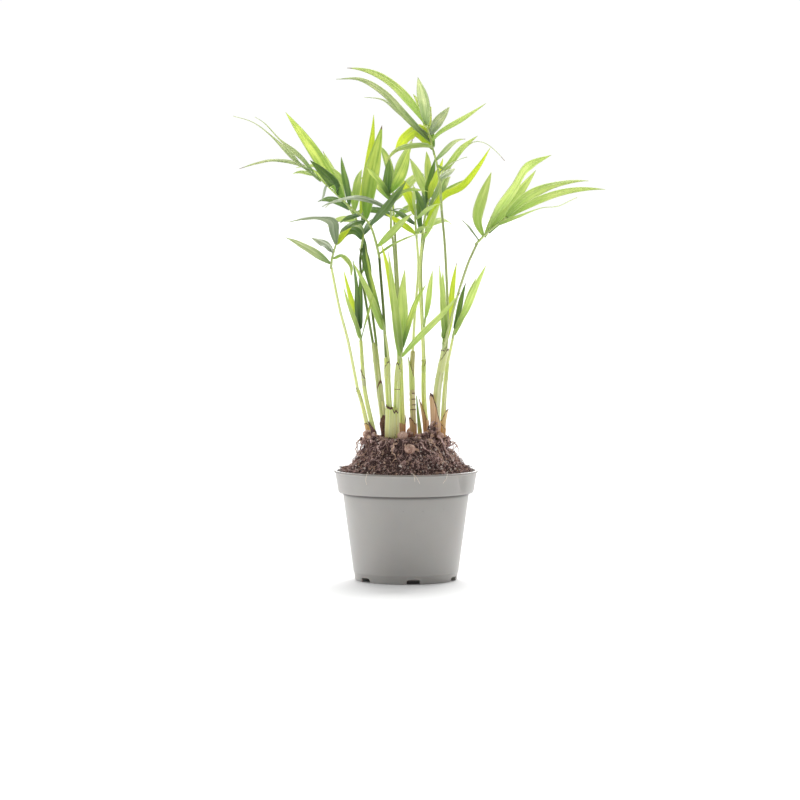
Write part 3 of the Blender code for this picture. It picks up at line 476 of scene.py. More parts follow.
class Skin(Paint):
    """A material's node tree, with its Principled shader."""

    def __init__(self, name: str) -> None:
        """Starts the material.

        Args:
            name: The material's name.
        """
        self.material = bpy.data.materials.new(name)
        self.material.use_nodes = True
        super().__init__(self.material.node_tree)
        self.shader = self.tree.nodes["Principled BSDF"]

    def effect(self, tree: Tree, **values: float) -> Sequence[Socket]:
        """Adds a shared effect with this material's own values."""
        return self.node("Group", values, node_tree=tree)

    def dress(
        self, colour: Socket, roughness: float, relief: tuple[Socket, float, float], **more: object
    ) -> None:
        """Gives the shader its colour, roughness and relief.

        Args:
            colour: The colour's socket.
            roughness: How matt it is, from 0 to 1.
            relief: The height's socket, the share of it that is used, and its reach in metres.
            more: Other inputs, by the name with _ for each space.
        """
        bump = self.node("Bump", dict(zip(("Height", "Strength", "Distance"), relief)))
        self.feed(self.shader, {"Base Color": colour, "Roughness": roughness, "Normal": bump["Normal"]})
        self.feed(self.shader, {key.replace("_", " "): value for key, value in more.items()})

    def shine_through(self, colour: Socket, share: float) -> None:
        """Mixes the skin with light of a colour that comes through it, by a share.

        Args:
            colour: The light's colour.
            share: Its share, from 0 to 1.
        """
        glow = self.node("BsdfTranslucent", {"Color": colour})[0]
        both = self.node("MixShader", {0: share, 1: self.shader.outputs[0], 2: glow})[0]
        self.feed(self.tree.nodes["Material Output"], {"Surface": both})


@dataclass(frozen=True)
class LeafFinish:
    """A leaf's skin: the colours of its blade, foot, tip and lines, and of the light through it."""

    name: str
    blade: Colour
    foot: Colour
    tip: Colour
    line: Colour
    glow: Colour
    glow_foot: Colour
    through: float
    roughness: float = 0.36

    @cache
    def material(self) -> Material:
        """The finish as a material: a Principled skin mixed with light that comes through the blade.

        Returns:
            The material.
        """
        skin = Skin(self.name)
        veins = skin.effect(vein_effect(), Count=12.0)
        reach = skin.effect(reach_effect())
        patch = skin.effect(mottle_effect(), Scale=150.0, Sharpness=0.2)["Mask"]
        colour = skin.layers(
            linear(*self.blade), (reach["Tip"], 1.0, self.tip), (patch, 0.3, self.foot),
            (reach["Foot"], 0.85, self.foot), (veins["Lines"], 0.32, self.line),
            (veins["Bands"], 0.35, self.foot), (veins["Midrib"], 0.55, self.line),
            # the pale edge line: the leaf's margin, and also painted glare of backlight at the edge
            (veins["MarginAndGlare"], 0.6, self.line),
        )
        light = skin.layers(
            linear(*self.glow), (reach["Foot"], 0.9, self.glow_foot), (veins["Bands"], 0.5, self.glow_foot),
            # a pale edge on the light through the blade: painted glare of backlight at the edge
            (patch, 0.35, self.glow_foot), (veins["MarginAndGlare"], 0.7, self.line),
        )
        skin.dress(colour, self.roughness, (veins["Lines"], 0.3, 0.00005))
        skin.shine_through(light, self.through)
        return skin.material


@dataclass(frozen=True)
class LimbFinish:
    """A smooth limb's skin: two colours by height in millimetres, and those of its streaks, lines and flecks.

    depth is the share of the light that soaks in.
    """

    name: str
    foot: Colour
    top: Colour
    foot_height: float
    top_height: float
    streak: Colour
    depth: float = 0.85
    roughness: float = 0.34
    line: Colour = (0.50, 0.57, 0.26)
    fleck: Colour = (0.34, 0.30, 0.16)

    @cache
    def material(self) -> Material:
        """The finish as a material: two colours by height, with streaks, lines and flecks.

        Returns:
            The material.
        """
        skin = Skin(self.name)
        rise = skin.ramp(skin.parts(skin.spot())[2], self.foot_height * MM, self.top_height * MM)
        veins = skin.effect(vein_effect(), Count=26.0, Length=0.6)
        fine = skin.effect(mottle_effect(), Scale=260.0, Sharpness=0.12)["Fine"]
        colour = skin.layers(
            linear(*self.foot), (rise, 1.0, self.top), (veins["Bands"], 0.75, self.streak),
            (veins["Lines"], 0.38, self.line), (skin.ramp(fine, 0.69, 0.74), 0.7, self.fleck),
        )
        skin.dress(
            colour, self.roughness, (veins["Lines"], 0.4, 0.00006), Subsurface_Weight=self.depth,
            Subsurface_Radius=(1.0, 1.0, 0.7), Subsurface_Scale=0.0014,
        )
        return skin.material


@dataclass(frozen=True)
class EarthFinish:
    """A matt finish of three colours in patches: peat, root, husk, old sheath or perlite."""

    name: str
    dark: Colour
    middle: Colour
    light: Colour
    scale: float
    roughness: float = 0.9
    relief: float = 0.0004

    @cache
    def material(self) -> Material:
        """The finish as a material: patches of the first two colours and flecks of the third.

        Returns:
            The material.
        """
        skin = Skin(self.name)
        mottle = skin.effect(mottle_effect(), Scale=self.scale, Sharpness=0.14)
        fleck = skin.ramp(mottle["Fine"], 0.54, 0.68)
        colour = skin.layers(linear(*self.dark), (mottle["Mask"], 1.0, self.middle), (fleck, 1.0, self.light))
        skin.dress(colour, self.roughness, (mottle["Fine"], 0.7, self.relief))
        return skin.material


Finish = LeafFinish | LimbFinish | EarthFinish


def skins(*finishes: Finish) -> list[Material]:
    """The materials of some finishes, in their order."""
    return [finish.material() for finish in finishes]


class Tint(Enum):
    """The greens that the leaflets are dealt, lit and shaded copies of one leaf green: from painted backlight
    in spring yellow to painted shade in deep green, a whitish silver that is a painted sheen, and dry brown.
    """

    SPRING = 0
    LIME = 1
    FRESH = 2
    DEEP = 3
    SAGE = 4
    SILVER = 5
    DRY = 6


# Spring is painted backlight, deep is painted shade and silver is a painted whitish sheen; lime, fresh and
# sage are greens between them, and dry is the brown of withered tips.
LEAF_FINISHES = (
    # spring: painted backlight, the yellow of leaflets lit through from behind
    LeafFinish(
        "leaf_spring", (0.78, 0.82, 0.26), (0.62, 0.72, 0.28), (0.86, 0.88, 0.32), (0.92, 0.93, 0.62),
        (0.92, 0.95, 0.50), (0.80, 0.87, 0.44), 0.70,
    ),
    LeafFinish(
        "leaf_lime", (0.68, 0.75, 0.42), (0.50, 0.62, 0.36), (0.78, 0.82, 0.50), (0.91, 0.93, 0.77),
        (0.92, 0.95, 0.73), (0.77, 0.85, 0.56), 0.68,
    ),
    LeafFinish(
        "leaf_fresh", (0.56, 0.65, 0.34), (0.32, 0.46, 0.24), (0.72, 0.78, 0.42), (0.80, 0.86, 0.62),
        (0.94, 0.96, 0.68), (0.64, 0.76, 0.46), 0.70,
    ),
    # deep: painted shade, the dark green of leaflets shaded by others
    LeafFinish(
        "leaf_deep", (0.33, 0.44, 0.26), (0.22, 0.33, 0.21), (0.46, 0.56, 0.31), (0.62, 0.70, 0.52),
        (0.76, 0.84, 0.52), (0.54, 0.67, 0.45), 0.54,
    ),
    LeafFinish(
        "leaf_sage", (0.62, 0.67, 0.50), (0.42, 0.50, 0.36), (0.76, 0.80, 0.54), (0.88, 0.90, 0.79),
        (0.94, 0.95, 0.81), (0.70, 0.78, 0.59), 0.68,
    ),
    # silver: a painted whitish sheen, for leaflets that mirror the bright room
    LeafFinish(
        "leaf_silver", (0.70, 0.74, 0.67), (0.48, 0.56, 0.46), (0.74, 0.79, 0.58), (0.88, 0.90, 0.84),
        (0.87, 0.89, 0.78), (0.72, 0.78, 0.64), 0.5, 0.28,
    ),
    LeafFinish(
        "leaf_dry", (0.62, 0.56, 0.44), (0.48, 0.40, 0.30), (0.70, 0.64, 0.52), (0.76, 0.70, 0.58),
        (0.80, 0.74, 0.60), (0.68, 0.60, 0.46), 0.4, 0.6,
    ),
)
PEAT_DARK = EarthFinish("peat_dark", (0.20, 0.14, 0.13), (0.38, 0.285, 0.265), (0.64, 0.51, 0.48), 500.0)
PEAT_BROWN = EarthFinish("peat_brown", (0.44, 0.34, 0.32), (0.68, 0.55, 0.52), (0.92, 0.80, 0.77), 600.0)
PEAT_RED = EarthFinish("peat_red", (0.70, 0.56, 0.53), (0.90, 0.77, 0.74), (0.97, 0.89, 0.86), 600.0)
PERLITE = EarthFinish("perlite", (0.93, 0.86, 0.81), (0.97, 0.92, 0.89), (0.99, 0.96, 0.94), 900.0, 0.8)
ROOT_TAN = EarthFinish("root_tan", (0.72, 0.57, 0.48), (0.90, 0.76, 0.66), (0.96, 0.88, 0.81), 700.0, 0.75)
ROOT_PALE = EarthFinish("root_pale", (0.88, 0.82, 0.75), (0.95, 0.91, 0.86), (0.98, 0.96, 0.93), 700.0, 0.7)
HUSK = EarthFinish("husk_tan", (0.62, 0.47, 0.41), (0.84, 0.69, 0.61), (0.94, 0.85, 0.79), 420.0, 0.7, 0.0003)
HUSK_RED = EarthFinish(
    "husk_red", (0.46, 0.31, 0.26), (0.64, 0.46, 0.39), (0.86, 0.76, 0.69), 420.0, 0.7, 0.0003,
)
SHEATH_DARK = EarthFinish(
    "sheath_dark", (0.28, 0.19, 0.19), (0.42, 0.29, 0.26), (0.60, 0.45, 0.37), 420.0, 0.7,
)
SHEATH_BROWN = LimbFinish(
    "sheath_brown", (0.76, 0.55, 0.42), (0.92, 0.74, 0.54), 60, 77, (0.97, 0.87, 0.70), 0.0, 0.5,
    (0.42, 0.26, 0.20),
)
SHEATH_TAN = LimbFinish(
    "sheath_tan", (0.84, 0.60, 0.34), (0.94, 0.80, 0.50), 60, 70, (0.97, 0.92, 0.72), 0.0, 0.5,
    (0.56, 0.38, 0.20),
)
STEM_YELLOW = LimbFinish("stem_yellow", (0.94, 0.78, 0.46), (0.90, 0.91, 0.62), 60, 67, (0.95, 0.96, 0.78))
STEM_GREEN = LimbFinish("stem_green", (0.90, 0.85, 0.56), (0.83, 0.87, 0.54), 60, 67, (0.94, 0.96, 0.72))
STEM_GREY = LimbFinish("stem_grey", (0.82, 0.82, 0.58), (0.73, 0.76, 0.52), 62, 76, (0.94, 0.92, 0.78))
STEM_LIME = LimbFinish("stem_lime", (0.88, 0.84, 0.56), (0.84, 0.87, 0.60), 62, 72, (0.95, 0.94, 0.80))
STEM_PALE = LimbFinish("stem_pale", (0.91, 0.91, 0.62), (0.83, 0.87, 0.49), 64, 74, (0.95, 0.97, 0.76))
STEM_OLD = LimbFinish("stem_old", (0.84, 0.72, 0.56), (0.78, 0.75, 0.54), 60, 70, (0.92, 0.86, 0.74))
SPEAR_GREEN = LimbFinish("spear_green", (0.92, 0.84, 0.50), (0.46, 0.58, 0.28), 61, 67, (0.68, 0.76, 0.44))
COAT_YELLOW = LimbFinish(
    "coat_yellow", (0.93, 0.87, 0.50), (0.88, 0.91, 0.53), 62, 70, (0.95, 0.96, 0.80), 0.0,
)
COAT_GREEN = LimbFinish("coat_green", (0.86, 0.89, 0.53), (0.80, 0.87, 0.45), 62, 74, (0.92, 0.95, 0.70), 0.0)
COAT_GREY = LimbFinish("coat_grey", (0.84, 0.85, 0.56), (0.76, 0.80, 0.50), 62, 78, (0.95, 0.92, 0.84), 0.0)
COAT_PALE = LimbFinish("coat_pale", (0.93, 0.92, 0.60), (0.86, 0.90, 0.48), 64, 74, (0.95, 0.97, 0.78), 0.0)
STALK_OLIVE = LimbFinish("stalk_olive", (0.78, 0.82, 0.56), (0.64, 0.68, 0.48), 90, 130, (0.80, 0.83, 0.64))
STALK_DARK = LimbFinish("stalk_dark", (0.54, 0.62, 0.36), (0.32, 0.40, 0.17), 95, 125, (0.46, 0.53, 0.28))
STALK_LIME = LimbFinish("stalk_lime", (0.86, 0.89, 0.62), (0.84, 0.88, 0.62), 90, 130, (0.93, 0.95, 0.78))
RIB_GREEN = LimbFinish("rib_green", (0.62, 0.69, 0.44), (0.70, 0.76, 0.48), 100, 200, (0.80, 0.85, 0.62))


@dataclass
class NurseryPot:
    """The thin round plastic pot: a deep rim band with a bead at its lip, a tapering body and drain slots.

    Lengths are in millimetres and angles in degrees. The dent in the band is a bell of dent_width radians
    whose middle leans by dent_lean radians a millimetre, and oval is how far the rim is out of round.
    """

    height: float = 46.0
    rim_radius: float = 30.0
    band_height: float = 9.4
    band_foot_radius: float = 28.2
    body_top_radius: float = 26.2
    body_foot_radius: float = 21.4
    wall: float = 0.9
    floor: float = 1.4
    floor_inset: float = 6.0
    bead: float = 0.6
    ledge_height: float = 3.4
    ledge_step: float = 0.25
    segments: int = 192
    drain_count: int = 6
    drain_width: float = 5.6
    drain_height: float = 1.9
    drain_depth: float = 5.0
    drain_overshoot: float = 3.0
    drain_squareness: float = 0.35
    drain_corners: int = 24
    drain_first_angle: float = 218.0
    dent_angle: float = -40.0
    dent_depth: float = 1.3
    dent_width: float = 0.075
    dent_lean: float = 0.012
    oval: float = 0.12

    @property
    def band_foot(self) -> float:
        """The height of the band's foot."""
        return self.height - self.band_height

    def side(self, height: float) -> float:
        """The body's outer radius at a height: it widens evenly from its foot to the band's."""
        slope = (self.body_top_radius - self.body_foot_radius) / self.band_foot
        return self.body_foot_radius + slope * height

    def outside(self) -> list[tuple[float, float]]:
        """The section's outside as radius and height: foot, ledge, side, step under the band, band, bead.

        Returns:
            The section's points from the foot up.
        """
        foot, band, ledge = self.body_foot_radius, self.band_foot, self.side(self.ledge_height)
        lip, top, middle = self.height - 3 * self.bead, self.height - self.bead, self.rim_radius - self.bead
        flare = (middle - self.band_foot_radius) / (lip - band)
        rises = np.linspace(self.ledge_height + 1.0, band - 0.8, 14)
        angles = np.radians(np.linspace(-80, 170, 11))
        return [
            (foot - 0.5, 0.0), (foot - 0.1, 0.15), (foot, 0.5),
            (ledge - 0.02, self.ledge_height - 0.1), (ledge + self.ledge_step, self.ledge_height + 0.15),
            *((self.side(h) + self.ledge_step * 0.6, h) for h in rises),
            (self.body_top_radius, band - 0.2), (self.body_top_radius + 0.25, band),
            (self.band_foot_radius - 0.3, band + 0.02), (self.band_foot_radius, band + 0.3),
            *((self.band_foot_radius + flare * (h - band), h) for h in np.linspace(band + 1.0, lip, 8)),
            *((middle + self.bead * math.cos(a), top + self.bead * math.sin(a)) for a in angles),
        ]

    def inside(self) -> list[tuple[float, float]]:
        """The section's inside as radius and height, from the lip down to the floor.

        Returns:
            The section's points.
        """
        band = self.band_foot
        return [
            (self.rim_radius - 2 * self.bead - 0.1, self.height - 1.6),
            (self.band_foot_radius - self.wall, band + 1.3),
            (self.body_top_radius - self.wall + 0.4, band + 0.5),
            *((self.side(h) - self.wall, h) for h in np.linspace(band - 0.5, self.floor + 1.0, 10)),
            (self.body_foot_radius - self.wall - 0.6, self.floor + 0.1),
            (self.body_foot_radius - self.floor_inset, self.floor),
        ]

    def shell(self) -> Shape:
        """The pot's closed shell before its slots are cut: the section turned about the axis.

        A point is (r cos a, r sin a, h). Near the dent's angle r falls by a bell curve of the angle, and the
        whole rim is a little oval by a cosine of twice the angle.

        Returns:
            The shell's mesh.
        """
        section = np.array([(self.body_foot_radius - self.floor_inset, 0.0), *self.outside(), *self.inside()])
        angle, radius, height = turns(self.segments), section[:, :1], section[:, 1:]
        lean = np.radians(self.dent_angle) - (height - self.height) * self.dent_lean
        away = np.angle(np.exp(1j * (angle - lean)))
        band = smoothstep(height, self.band_foot - 1.0, self.height - 3.0) * (height < self.height - 0.9)
        radius = radius - self.dent_depth * np.exp(-((away / self.dent_width) ** 2)) * band
        radius = radius + self.oval * np.clip(height / self.height, 0.0, 1.0) * np.cos(2 * angle + 0.6)
        rings = polar(radius, angle, height)[::-1]
        shape = Shape()
        around = np.linspace(0, 1, self.segments, endpoint=False)
        shape.add_tube(rings, around, np.linspace(0, 1, len(rings)))
        return shape

    def cutter(self) -> Shape:
        """The rounded blocks that cut the drain slots.

        A block's section is a circle squared off: its cosine and sine are raised to a small power.

        Returns:
            The blocks' mesh.
        """
        shape, angle = Shape(), turns(self.drain_corners)
        across, upward = (
            np.sign(wave) * np.abs(wave) ** self.drain_squareness for wave in (np.cos(angle), np.sin(angle))
        )
        across, upward = across * self.drain_width / 2, upward * self.drain_height
        foot = self.body_foot_radius
        reach = np.linspace(foot - self.drain_depth, foot + self.drain_overshoot, 3)
        for i in range(self.drain_count):
            turn = math.radians(self.drain_first_angle) + i * TURN / self.drain_count
            outward = np.array([math.cos(turn), math.sin(turn), 0.0])
            sideways = np.array([-math.sin(turn), math.cos(turn), 0.0])
            ring = sideways * across[:, None] + UP * upward[:, None]
            shape.add_tube(ring[None] + outward * reach[:, None, None], np.zeros(len(angle)), reach)
        return shape

    def finish(self) -> Material:
        """Grey moulded plastic: satin, a little cloudy, with painted shade in the step under the band, darker
        at the lip, and specked.

        Returns:
            The material.
        """
        skin = Skin("pot_plastic")
        cloud = skin.effect(mottle_effect(), Scale=45.0, Sharpness=0.3)
        speck = skin.effect(mottle_effect(), Scale=240.0, Sharpness=0.1)["Fine"]
        height, band = skin.parts(skin.spot())[2], self.band_foot * MM
        # rise times fall is a ring of painted shade in the step under the band's foot, where the band's
        # overhang shades the body
        rise = skin.ramp(height, band - 1.5 * MM, band - 0.3 * MM)
        fall = skin.ramp(height, band + 0.35 * MM, band + 0.1 * MM)
        lip = skin.ramp(height, (self.height - 0.9) * MM, (self.height - 0.3) * MM)
        colour = skin.layers(
            linear(0.66, 0.65, 0.635), (cloud["Mask"], 1.0, (0.70, 0.69, 0.675)),
            # painted shade under the band, then the darker lip
            (skin.math("MULTIPLY", rise, fall), 0.8, (0.30, 0.29, 0.28)), (lip, 0.6, (0.42, 0.38, 0.34)),
            (skin.ramp(speck, 0.735, 0.765), 0.8, (0.36, 0.31, 0.26)),
        )
        skin.dress(
            colour, 0.36, (cloud["Fine"], 0.12, 0.0003), Specular_IOR_Level=0.5, Subsurface_Weight=0.08,
            Subsurface_Scale=0.002,
        )
        return skin.material

    def build(self) -> None:
        """Makes the shell, cuts the slots and seats the finished pot."""
        pot = self.shell().build("pot_shell", [self.finish()])
        cutter = self.cutter().build("drain_cutter", [])
        cut = pot.modifiers.new("drains", "BOOLEAN")
        cut.operation = "DIFFERENCE"
        cut.object = cutter
        graph = bpy.context.evaluated_depsgraph_get()
        finished = bpy.data.meshes.new_from_object(pot.evaluated_get(graph))
        pot.modifiers.clear()
        pot.data = finished
        finished.set_sharp_from_angle(angle=math.radians(42))
        bpy.data.objects.remove(cutter)
        place(pot, "pot_plastic", "pot")


@cache
def ball() -> tuple[Array, Array]:
    """The corners of a twenty-sided ball at distance one from its middle, and its three-sided faces.

    Returns:
        The corners and the faces, as rows.
    """
    made = bpy.data.meshes.new("ball")
    work = bmesh.new()
    bmesh.ops.create_icosphere(work, subdivisions=1, radius=1.0)
    work.to_mesh(made)
    work.free()
    points = np.empty(len(made.vertices) * 3, np.float32)
    made.vertices.foreach_get("co", points)
    faces = np.empty(len(made.polygons) * 3, np.int32)
    made.polygons.foreach_get("vertices", faces)
    bpy.data.meshes.remove(made)
    return points.reshape(-1, 3).astype(float), faces.reshape(-1, 3)


ROOT_LOOPS = (
    (
        (-15.6, -4, 58.6), (-18.8, -6, 57.6), (-20.2, -7, 55), (-18.6, -8, 52.4), (-16.4, -9, 53.2),
        (-15.4, -9, 55.2),
    ),
    ((-16, -2, 57.4), (-18.2, -4, 58.8), (-19.6, -5, 57.4), (-19.2, -6, 54), (-20.8, -7, 52.2)),
    ((17, -2, 57), (19, -3, 58), (20.4, -4, 56.4), (18.8, -5, 54.4), (20, -7, 52.6), (22.4, -8, 51.2)),
    ((15.6, -7, 58.8), (18.2, -8, 56.8), (19.4, -8, 57.8), (20.8, -8, 55.6), (21.6, -8, 52.8)),
    ((8.8, -14.4, 60), (11.4, -17.2, 57.4), (13.6, -18.6, 54.6), (15, -20.6, 51.4), (17.8, -20.6, 49)),
    ((12.6, -12.6, 61), (14.8, -15.4, 58.2), (15.8, -16.8, 55.4), (18.2, -17.4, 52.4), (19.4, -18.4, 50.4)),
    ((5.6, -15.8, 58.6), (8.8, -18, 55.6), (12.4, -19.4, 54), (14.4, -21.4, 50.4)),
    ((-9.6, -14.4, 59.4), (-11.2, -16.8, 56.8), (-10.2, -18.6, 54.4), (-12.4, -20.2, 51.8)),
    ((-3.8, -16.4, 58.6), (-5.6, -18.2, 55.4), (-4.2, -19.8, 52.8), (-6.4, -21.8, 49.6)),
    ((15.8, 6, 59), (18.6, 8, 56.6), (19.2, 9, 53.8), (21, 10, 51.2)),
    ((-14.8, 8, 58.8), (-17.6, 10, 56.4), (-18.6, 11, 53.4), (-19.8, 12, 51)),
    ((-4, 16.4, 58.6), (-5.2, 18.8, 56), (-3.4, 20.2, 53.2), (-4.6, 21.8, 50.2)),
    ((8, 15.6, 58.8), (9.6, 17.8, 56.2), (8.8, 19.8, 53.4), (10.8, 21.4, 50.6)),
)
RIM_FIBRES = (
    (
        (-15.6, -25.2, 46.4), (-15.9, -26, 47.1), (-16.2, -26.1, 45.8), (-16.6, -25.6, 43.6),
        (-16.2, -25.4, 41.9),
    ),
    ((2, -29.4, 46.6), (3, -30.4, 46.5), (4.6, -30.3, 44.6), (5.6, -29.9, 42.6)),
    ((2.8, -29.2, 46.4), (3.2, -30.5, 46.2), (3.6, -30.4, 43.4)),
    ((16.4, -25, 46.4), (16.9, -25.6, 46.6), (16.6, -25.7, 44.6), (15.2, -26.2, 42.4)),
)


@dataclass
class PeatBed:
    """The mound of peat and roots: a rough core, clods, crumbs, perlite grains, fine fibres and thick roots.

    slope_radii and slope_heights are the mound's profile, and core_wall the core's below it. Each of the
    heaps has a count of coarse crumbs, a middle and a reach along the three axes.
    """

    slope_radii: tuple = (0.0, 16.6, 17.2, 18.8, 20.9, 24.6, 27.6)
    slope_heights: tuple = (59.0, 59.0, 57.6, 54.0, 51.0, 47.4, 45.6)
    core_wall: tuple = ((20.6, 2.6), (22.6, 20.0), (24.6, 36.0), (26.6, 40.0))
    heap_places: tuple = (
        (260, (2.0, -9.5, 60.3), (12.0, 4.0, 2.6)),
        (420, (11.6, -7.4, 62.4), (6.2, 5.2, 5.4)),
        (110, (-13.4, -7.6, 60.4), (4.4, 3.4, 2.6)),
        (90, (4.6, -9.0, 61.0), (3.4, 3.0, 2.8)),
    )
    foot_heap: tuple = (24, (3.0, 3.0, 1.4))
    clod_count: int = 620
    crumb_count: int = 5200
    perlite_count: int = 330
    perlite_right_count: int = 80
    fibre_count: int = 1350
    fibre_steps: int = 12
    lump_roughness: float = 0.7
    root_push: float = 0.9
    sides: int = 170

    def surface(self, radius: Array, angle: Array) -> Array:
        """Places on the mound: the slope's height at the radius, pushed in and out by noise of three sizes.

        Args:
            radius: Distance from the axis, in millimetres.
            angle: Angle about the axis, in radians.

        Returns:
            The places, with the axes last.
        """
        flat = polar(radius, angle, np.interp(radius, self.slope_radii, self.slope_heights))
        noise = value_noise(flat, 5.5, 1) + 0.6 * value_noise(flat, 2.4, 2) + 0.3 * value_noise(flat, 1.0, 3)
        steep = smoothstep(radius, 13.0, 17.5) * (1 - smoothstep(radius, 25.0, 27.2))
        push = 0.8 * (noise - 0.5) * steep
        flat[..., 2] += noise * (0.5 + 0.7 * steep) - 0.4 * steep
        flat[..., 0] += push * np.cos(angle)
        flat[..., 1] += push * np.sin(angle)
        return flat

    def core(self) -> Shape:
        """The closed core: rings over the mound from edge to crown, and a wall down to the pot's floor.

        Returns:
            The core's mesh.
        """
        angle = turns(self.sides)
        radii = np.concatenate([np.linspace(27.6, 17.0, 30), np.linspace(16.4, 0.6, 26)])
        rings = [polar(radius, angle, height) for radius, height in self.core_wall]
        rings += [self.surface(np.full_like(angle, radius), angle) for radius in radii]
        shape = Shape()
        shape.add_tube(np.array(rings), np.linspace(0, 1, self.sides), np.linspace(0, 1, len(rings)))
        return shape

    def scatter(self, count: int, rng: Random, low: float, high: float) -> Array:
        """Random places on the mound, even by area between two radii."""
        radius = np.sqrt(rng.uniform(low**2, high**2, count))
        return self.surface(radius, rng.uniform(0, TURN, count))

    def grains(
        self, centres: Array, sizes: tuple[float, float], rng: Random, numbers: Sequence[int]
    ) -> Shape:
        """Lumps at given places: balls of random sizes, more small than large, in a number of materials.

        Each ball is squeezed at random along its own axes, its corners are pushed in and out by noise, and it
        is turned by the matrix of a random quaternion.

        Args:
            centres: The lumps' middles, as rows.
            sizes: The smallest and the largest half size.
            rng: The source of random numbers.
            numbers: The material numbers that are dealt.

        Returns:
            The lumps' mesh.
        """
        count = len(centres)
        half = sizes[0] + (sizes[1] - sizes[0]) * rng.random((count, 1)) ** 2
        half = half * rng.uniform(0.4, 1.0, (count, 3))
        corners, faces = ball()
        w, x, y, z = unit(rng.normal(size=(count, 4))).T
        spin = np.array([
            [1 - 2 * (y * y + z * z), 2 * (x * y - z * w), 2 * (x * z + y * w)],
            [2 * (x * y + z * w), 1 - 2 * (x * x + z * z), 2 * (y * z - x * w)],
            [2 * (x * z - y * w), 2 * (y * z + x * w), 1 - 2 * (x * x + y * y)],
        ]).transpose(2, 0, 1)
        apart = rng.uniform(0, 90, (count, 1, 3))
        bumps = value_noise(corners * 1.3 + apart, 1.0, 3) + 0.5 * value_noise(corners * 3.1 + apart, 1.0, 4)
        local = corners * (1 + self.lump_roughness * bumps[..., None]) * half[:, None, :]
        points = np.einsum("nij,nkj->nki", spin, local) + centres[:, None, :]
        all_faces = (faces[None] + len(corners) * np.arange(count)[:, None, None]).reshape(-1, 3)
        lot = np.broadcast_to(np.repeat(rng.random(count), len(faces))[:, None], all_faces.shape)
        skin = np.repeat(rng.choice(numbers, count), len(faces))
        shape = Shape()
        pattern, reach = np.zeros((*all_faces.shape, 2)), np.stack([np.full(lot.shape, 0.5), lot], -1)
        shape.add(points.reshape(-1, 3), (all_faces, skin, pattern, reach))
        return shape

    def heaps(self) -> Array:
        """Middles of the coarse crumbs: over the crown, and in heaps round the stems' feet and in front.

        A heap is a bell-shaped spread that is flatter towards its edge. None of it covers a seed husk.

        Returns:
            The middles, as rows.
        """
        rng = np.random.default_rng(SEED + 5)
        feet = [stem.limb.course[0] for stem in STEMS if stem.limb.course[0][2] == BED_TOP]
        count, reach = self.foot_heap
        heaps = [(count, (x, y, z + 0.5), reach) for x, y, z in feet] + list(self.heap_places)
        places = [self.scatter(self.clod_count, rng, 8.0, 21.5)]
        for count, middle, reach in heaps:
            spread = np.clip(rng.normal(0, 0.55, (count, 3)), -1.0, 1.0)
            aside = np.minimum(np.hypot(spread[:, 0], spread[:, 1]), 1.0)
            spread[:, 2] = (spread[:, 2] + 1.0) * (1.0 - 0.75 * aside) - 1.0
            places.append(np.array(middle) + spread * np.array(reach))
        places = np.vstack(places)
        for seed in SEEDS:
            away = np.linalg.norm(places - seed.middle() - np.array([0.0, -1.2, 0.0]), axis=1)
            places = places[away > seed.radius + 1.4]
        return places

    def fibres(self, rng: Random) -> Shape:
        """Fine roots: each a thin tube that wanders over the mound from a random start, arched by a sine.

        Args:
            rng: The source of random numbers.

        Returns:
            The roots' mesh.
        """
        shape = Shape()
        for start in self.scatter(self.fibre_count, rng, 9.0, 26.4):
            bends = rng.uniform(0, TURN) + np.cumsum(rng.normal(0, 0.6, self.fibre_steps))
            stride = rng.uniform(0.14, 0.62)
            flat = start[:2] + np.cumsum(np.stack([np.cos(bends), np.sin(bends)], -1), axis=0) * stride
            radius = np.minimum(np.linalg.norm(flat, axis=1), 26.8)
            course = self.surface(radius, np.arctan2(flat[:, 1], flat[:, 0]))
            arch = np.sin(math.pi * np.linspace(0, 1, self.fibre_steps)[:, None])
            outward = unit(np.array([start[0], start[1], 14.0]))
            course = course + outward * (rng.uniform(0.2, 1.9) * arch + 0.12)
            radii = rng.uniform(0.04, 0.13) * np.linspace(1.0, 0.5, self.fibre_steps - 1)
            number = int(rng.choice((0, 0, 0, 0, 1, 1, 1, 2)))
            shape.add_cord((course[1:] + course[:-1]) / 2, radii, 5, number)
        for course in RIM_FIBRES:
            fine = smooth_course(course, 5)
            shape.add_cord(fine, np.full(len(fine), 0.1), 5, 3)
        return shape

    def thick_roots(self, rng: Random) -> Shape:
        """The thick roots that loop down the mound: knotty tapering tubes on their own courses.

        Args:
            rng: The source of random numbers.

        Returns:
            The roots' mesh.
        """
        shape = Shape()
        for course in ROOT_LOOPS:
            fine = smooth_course(course, 6)
            outward = unit(fine * np.array([1.0, 1.0, 0.0]))
            fine = fine + rng.normal(0, 0.2, fine.shape) + outward * self.root_push
            radii = np.linspace(rng.uniform(0.2, 0.42), 0.08, len(fine)) * rng.uniform(0.6, 1.4, len(fine))
            shape.add_cord(fine, radii, 9, int(rng.integers(0, 2)))
        return shape

    def seat(self, name: str, shape: Shape, *finishes: Finish) -> Object:
        """Makes a kind of thing on the bed one piece and seats it."""
        return place(shape.build(name, skins(*finishes)), "peat", "root_bed")

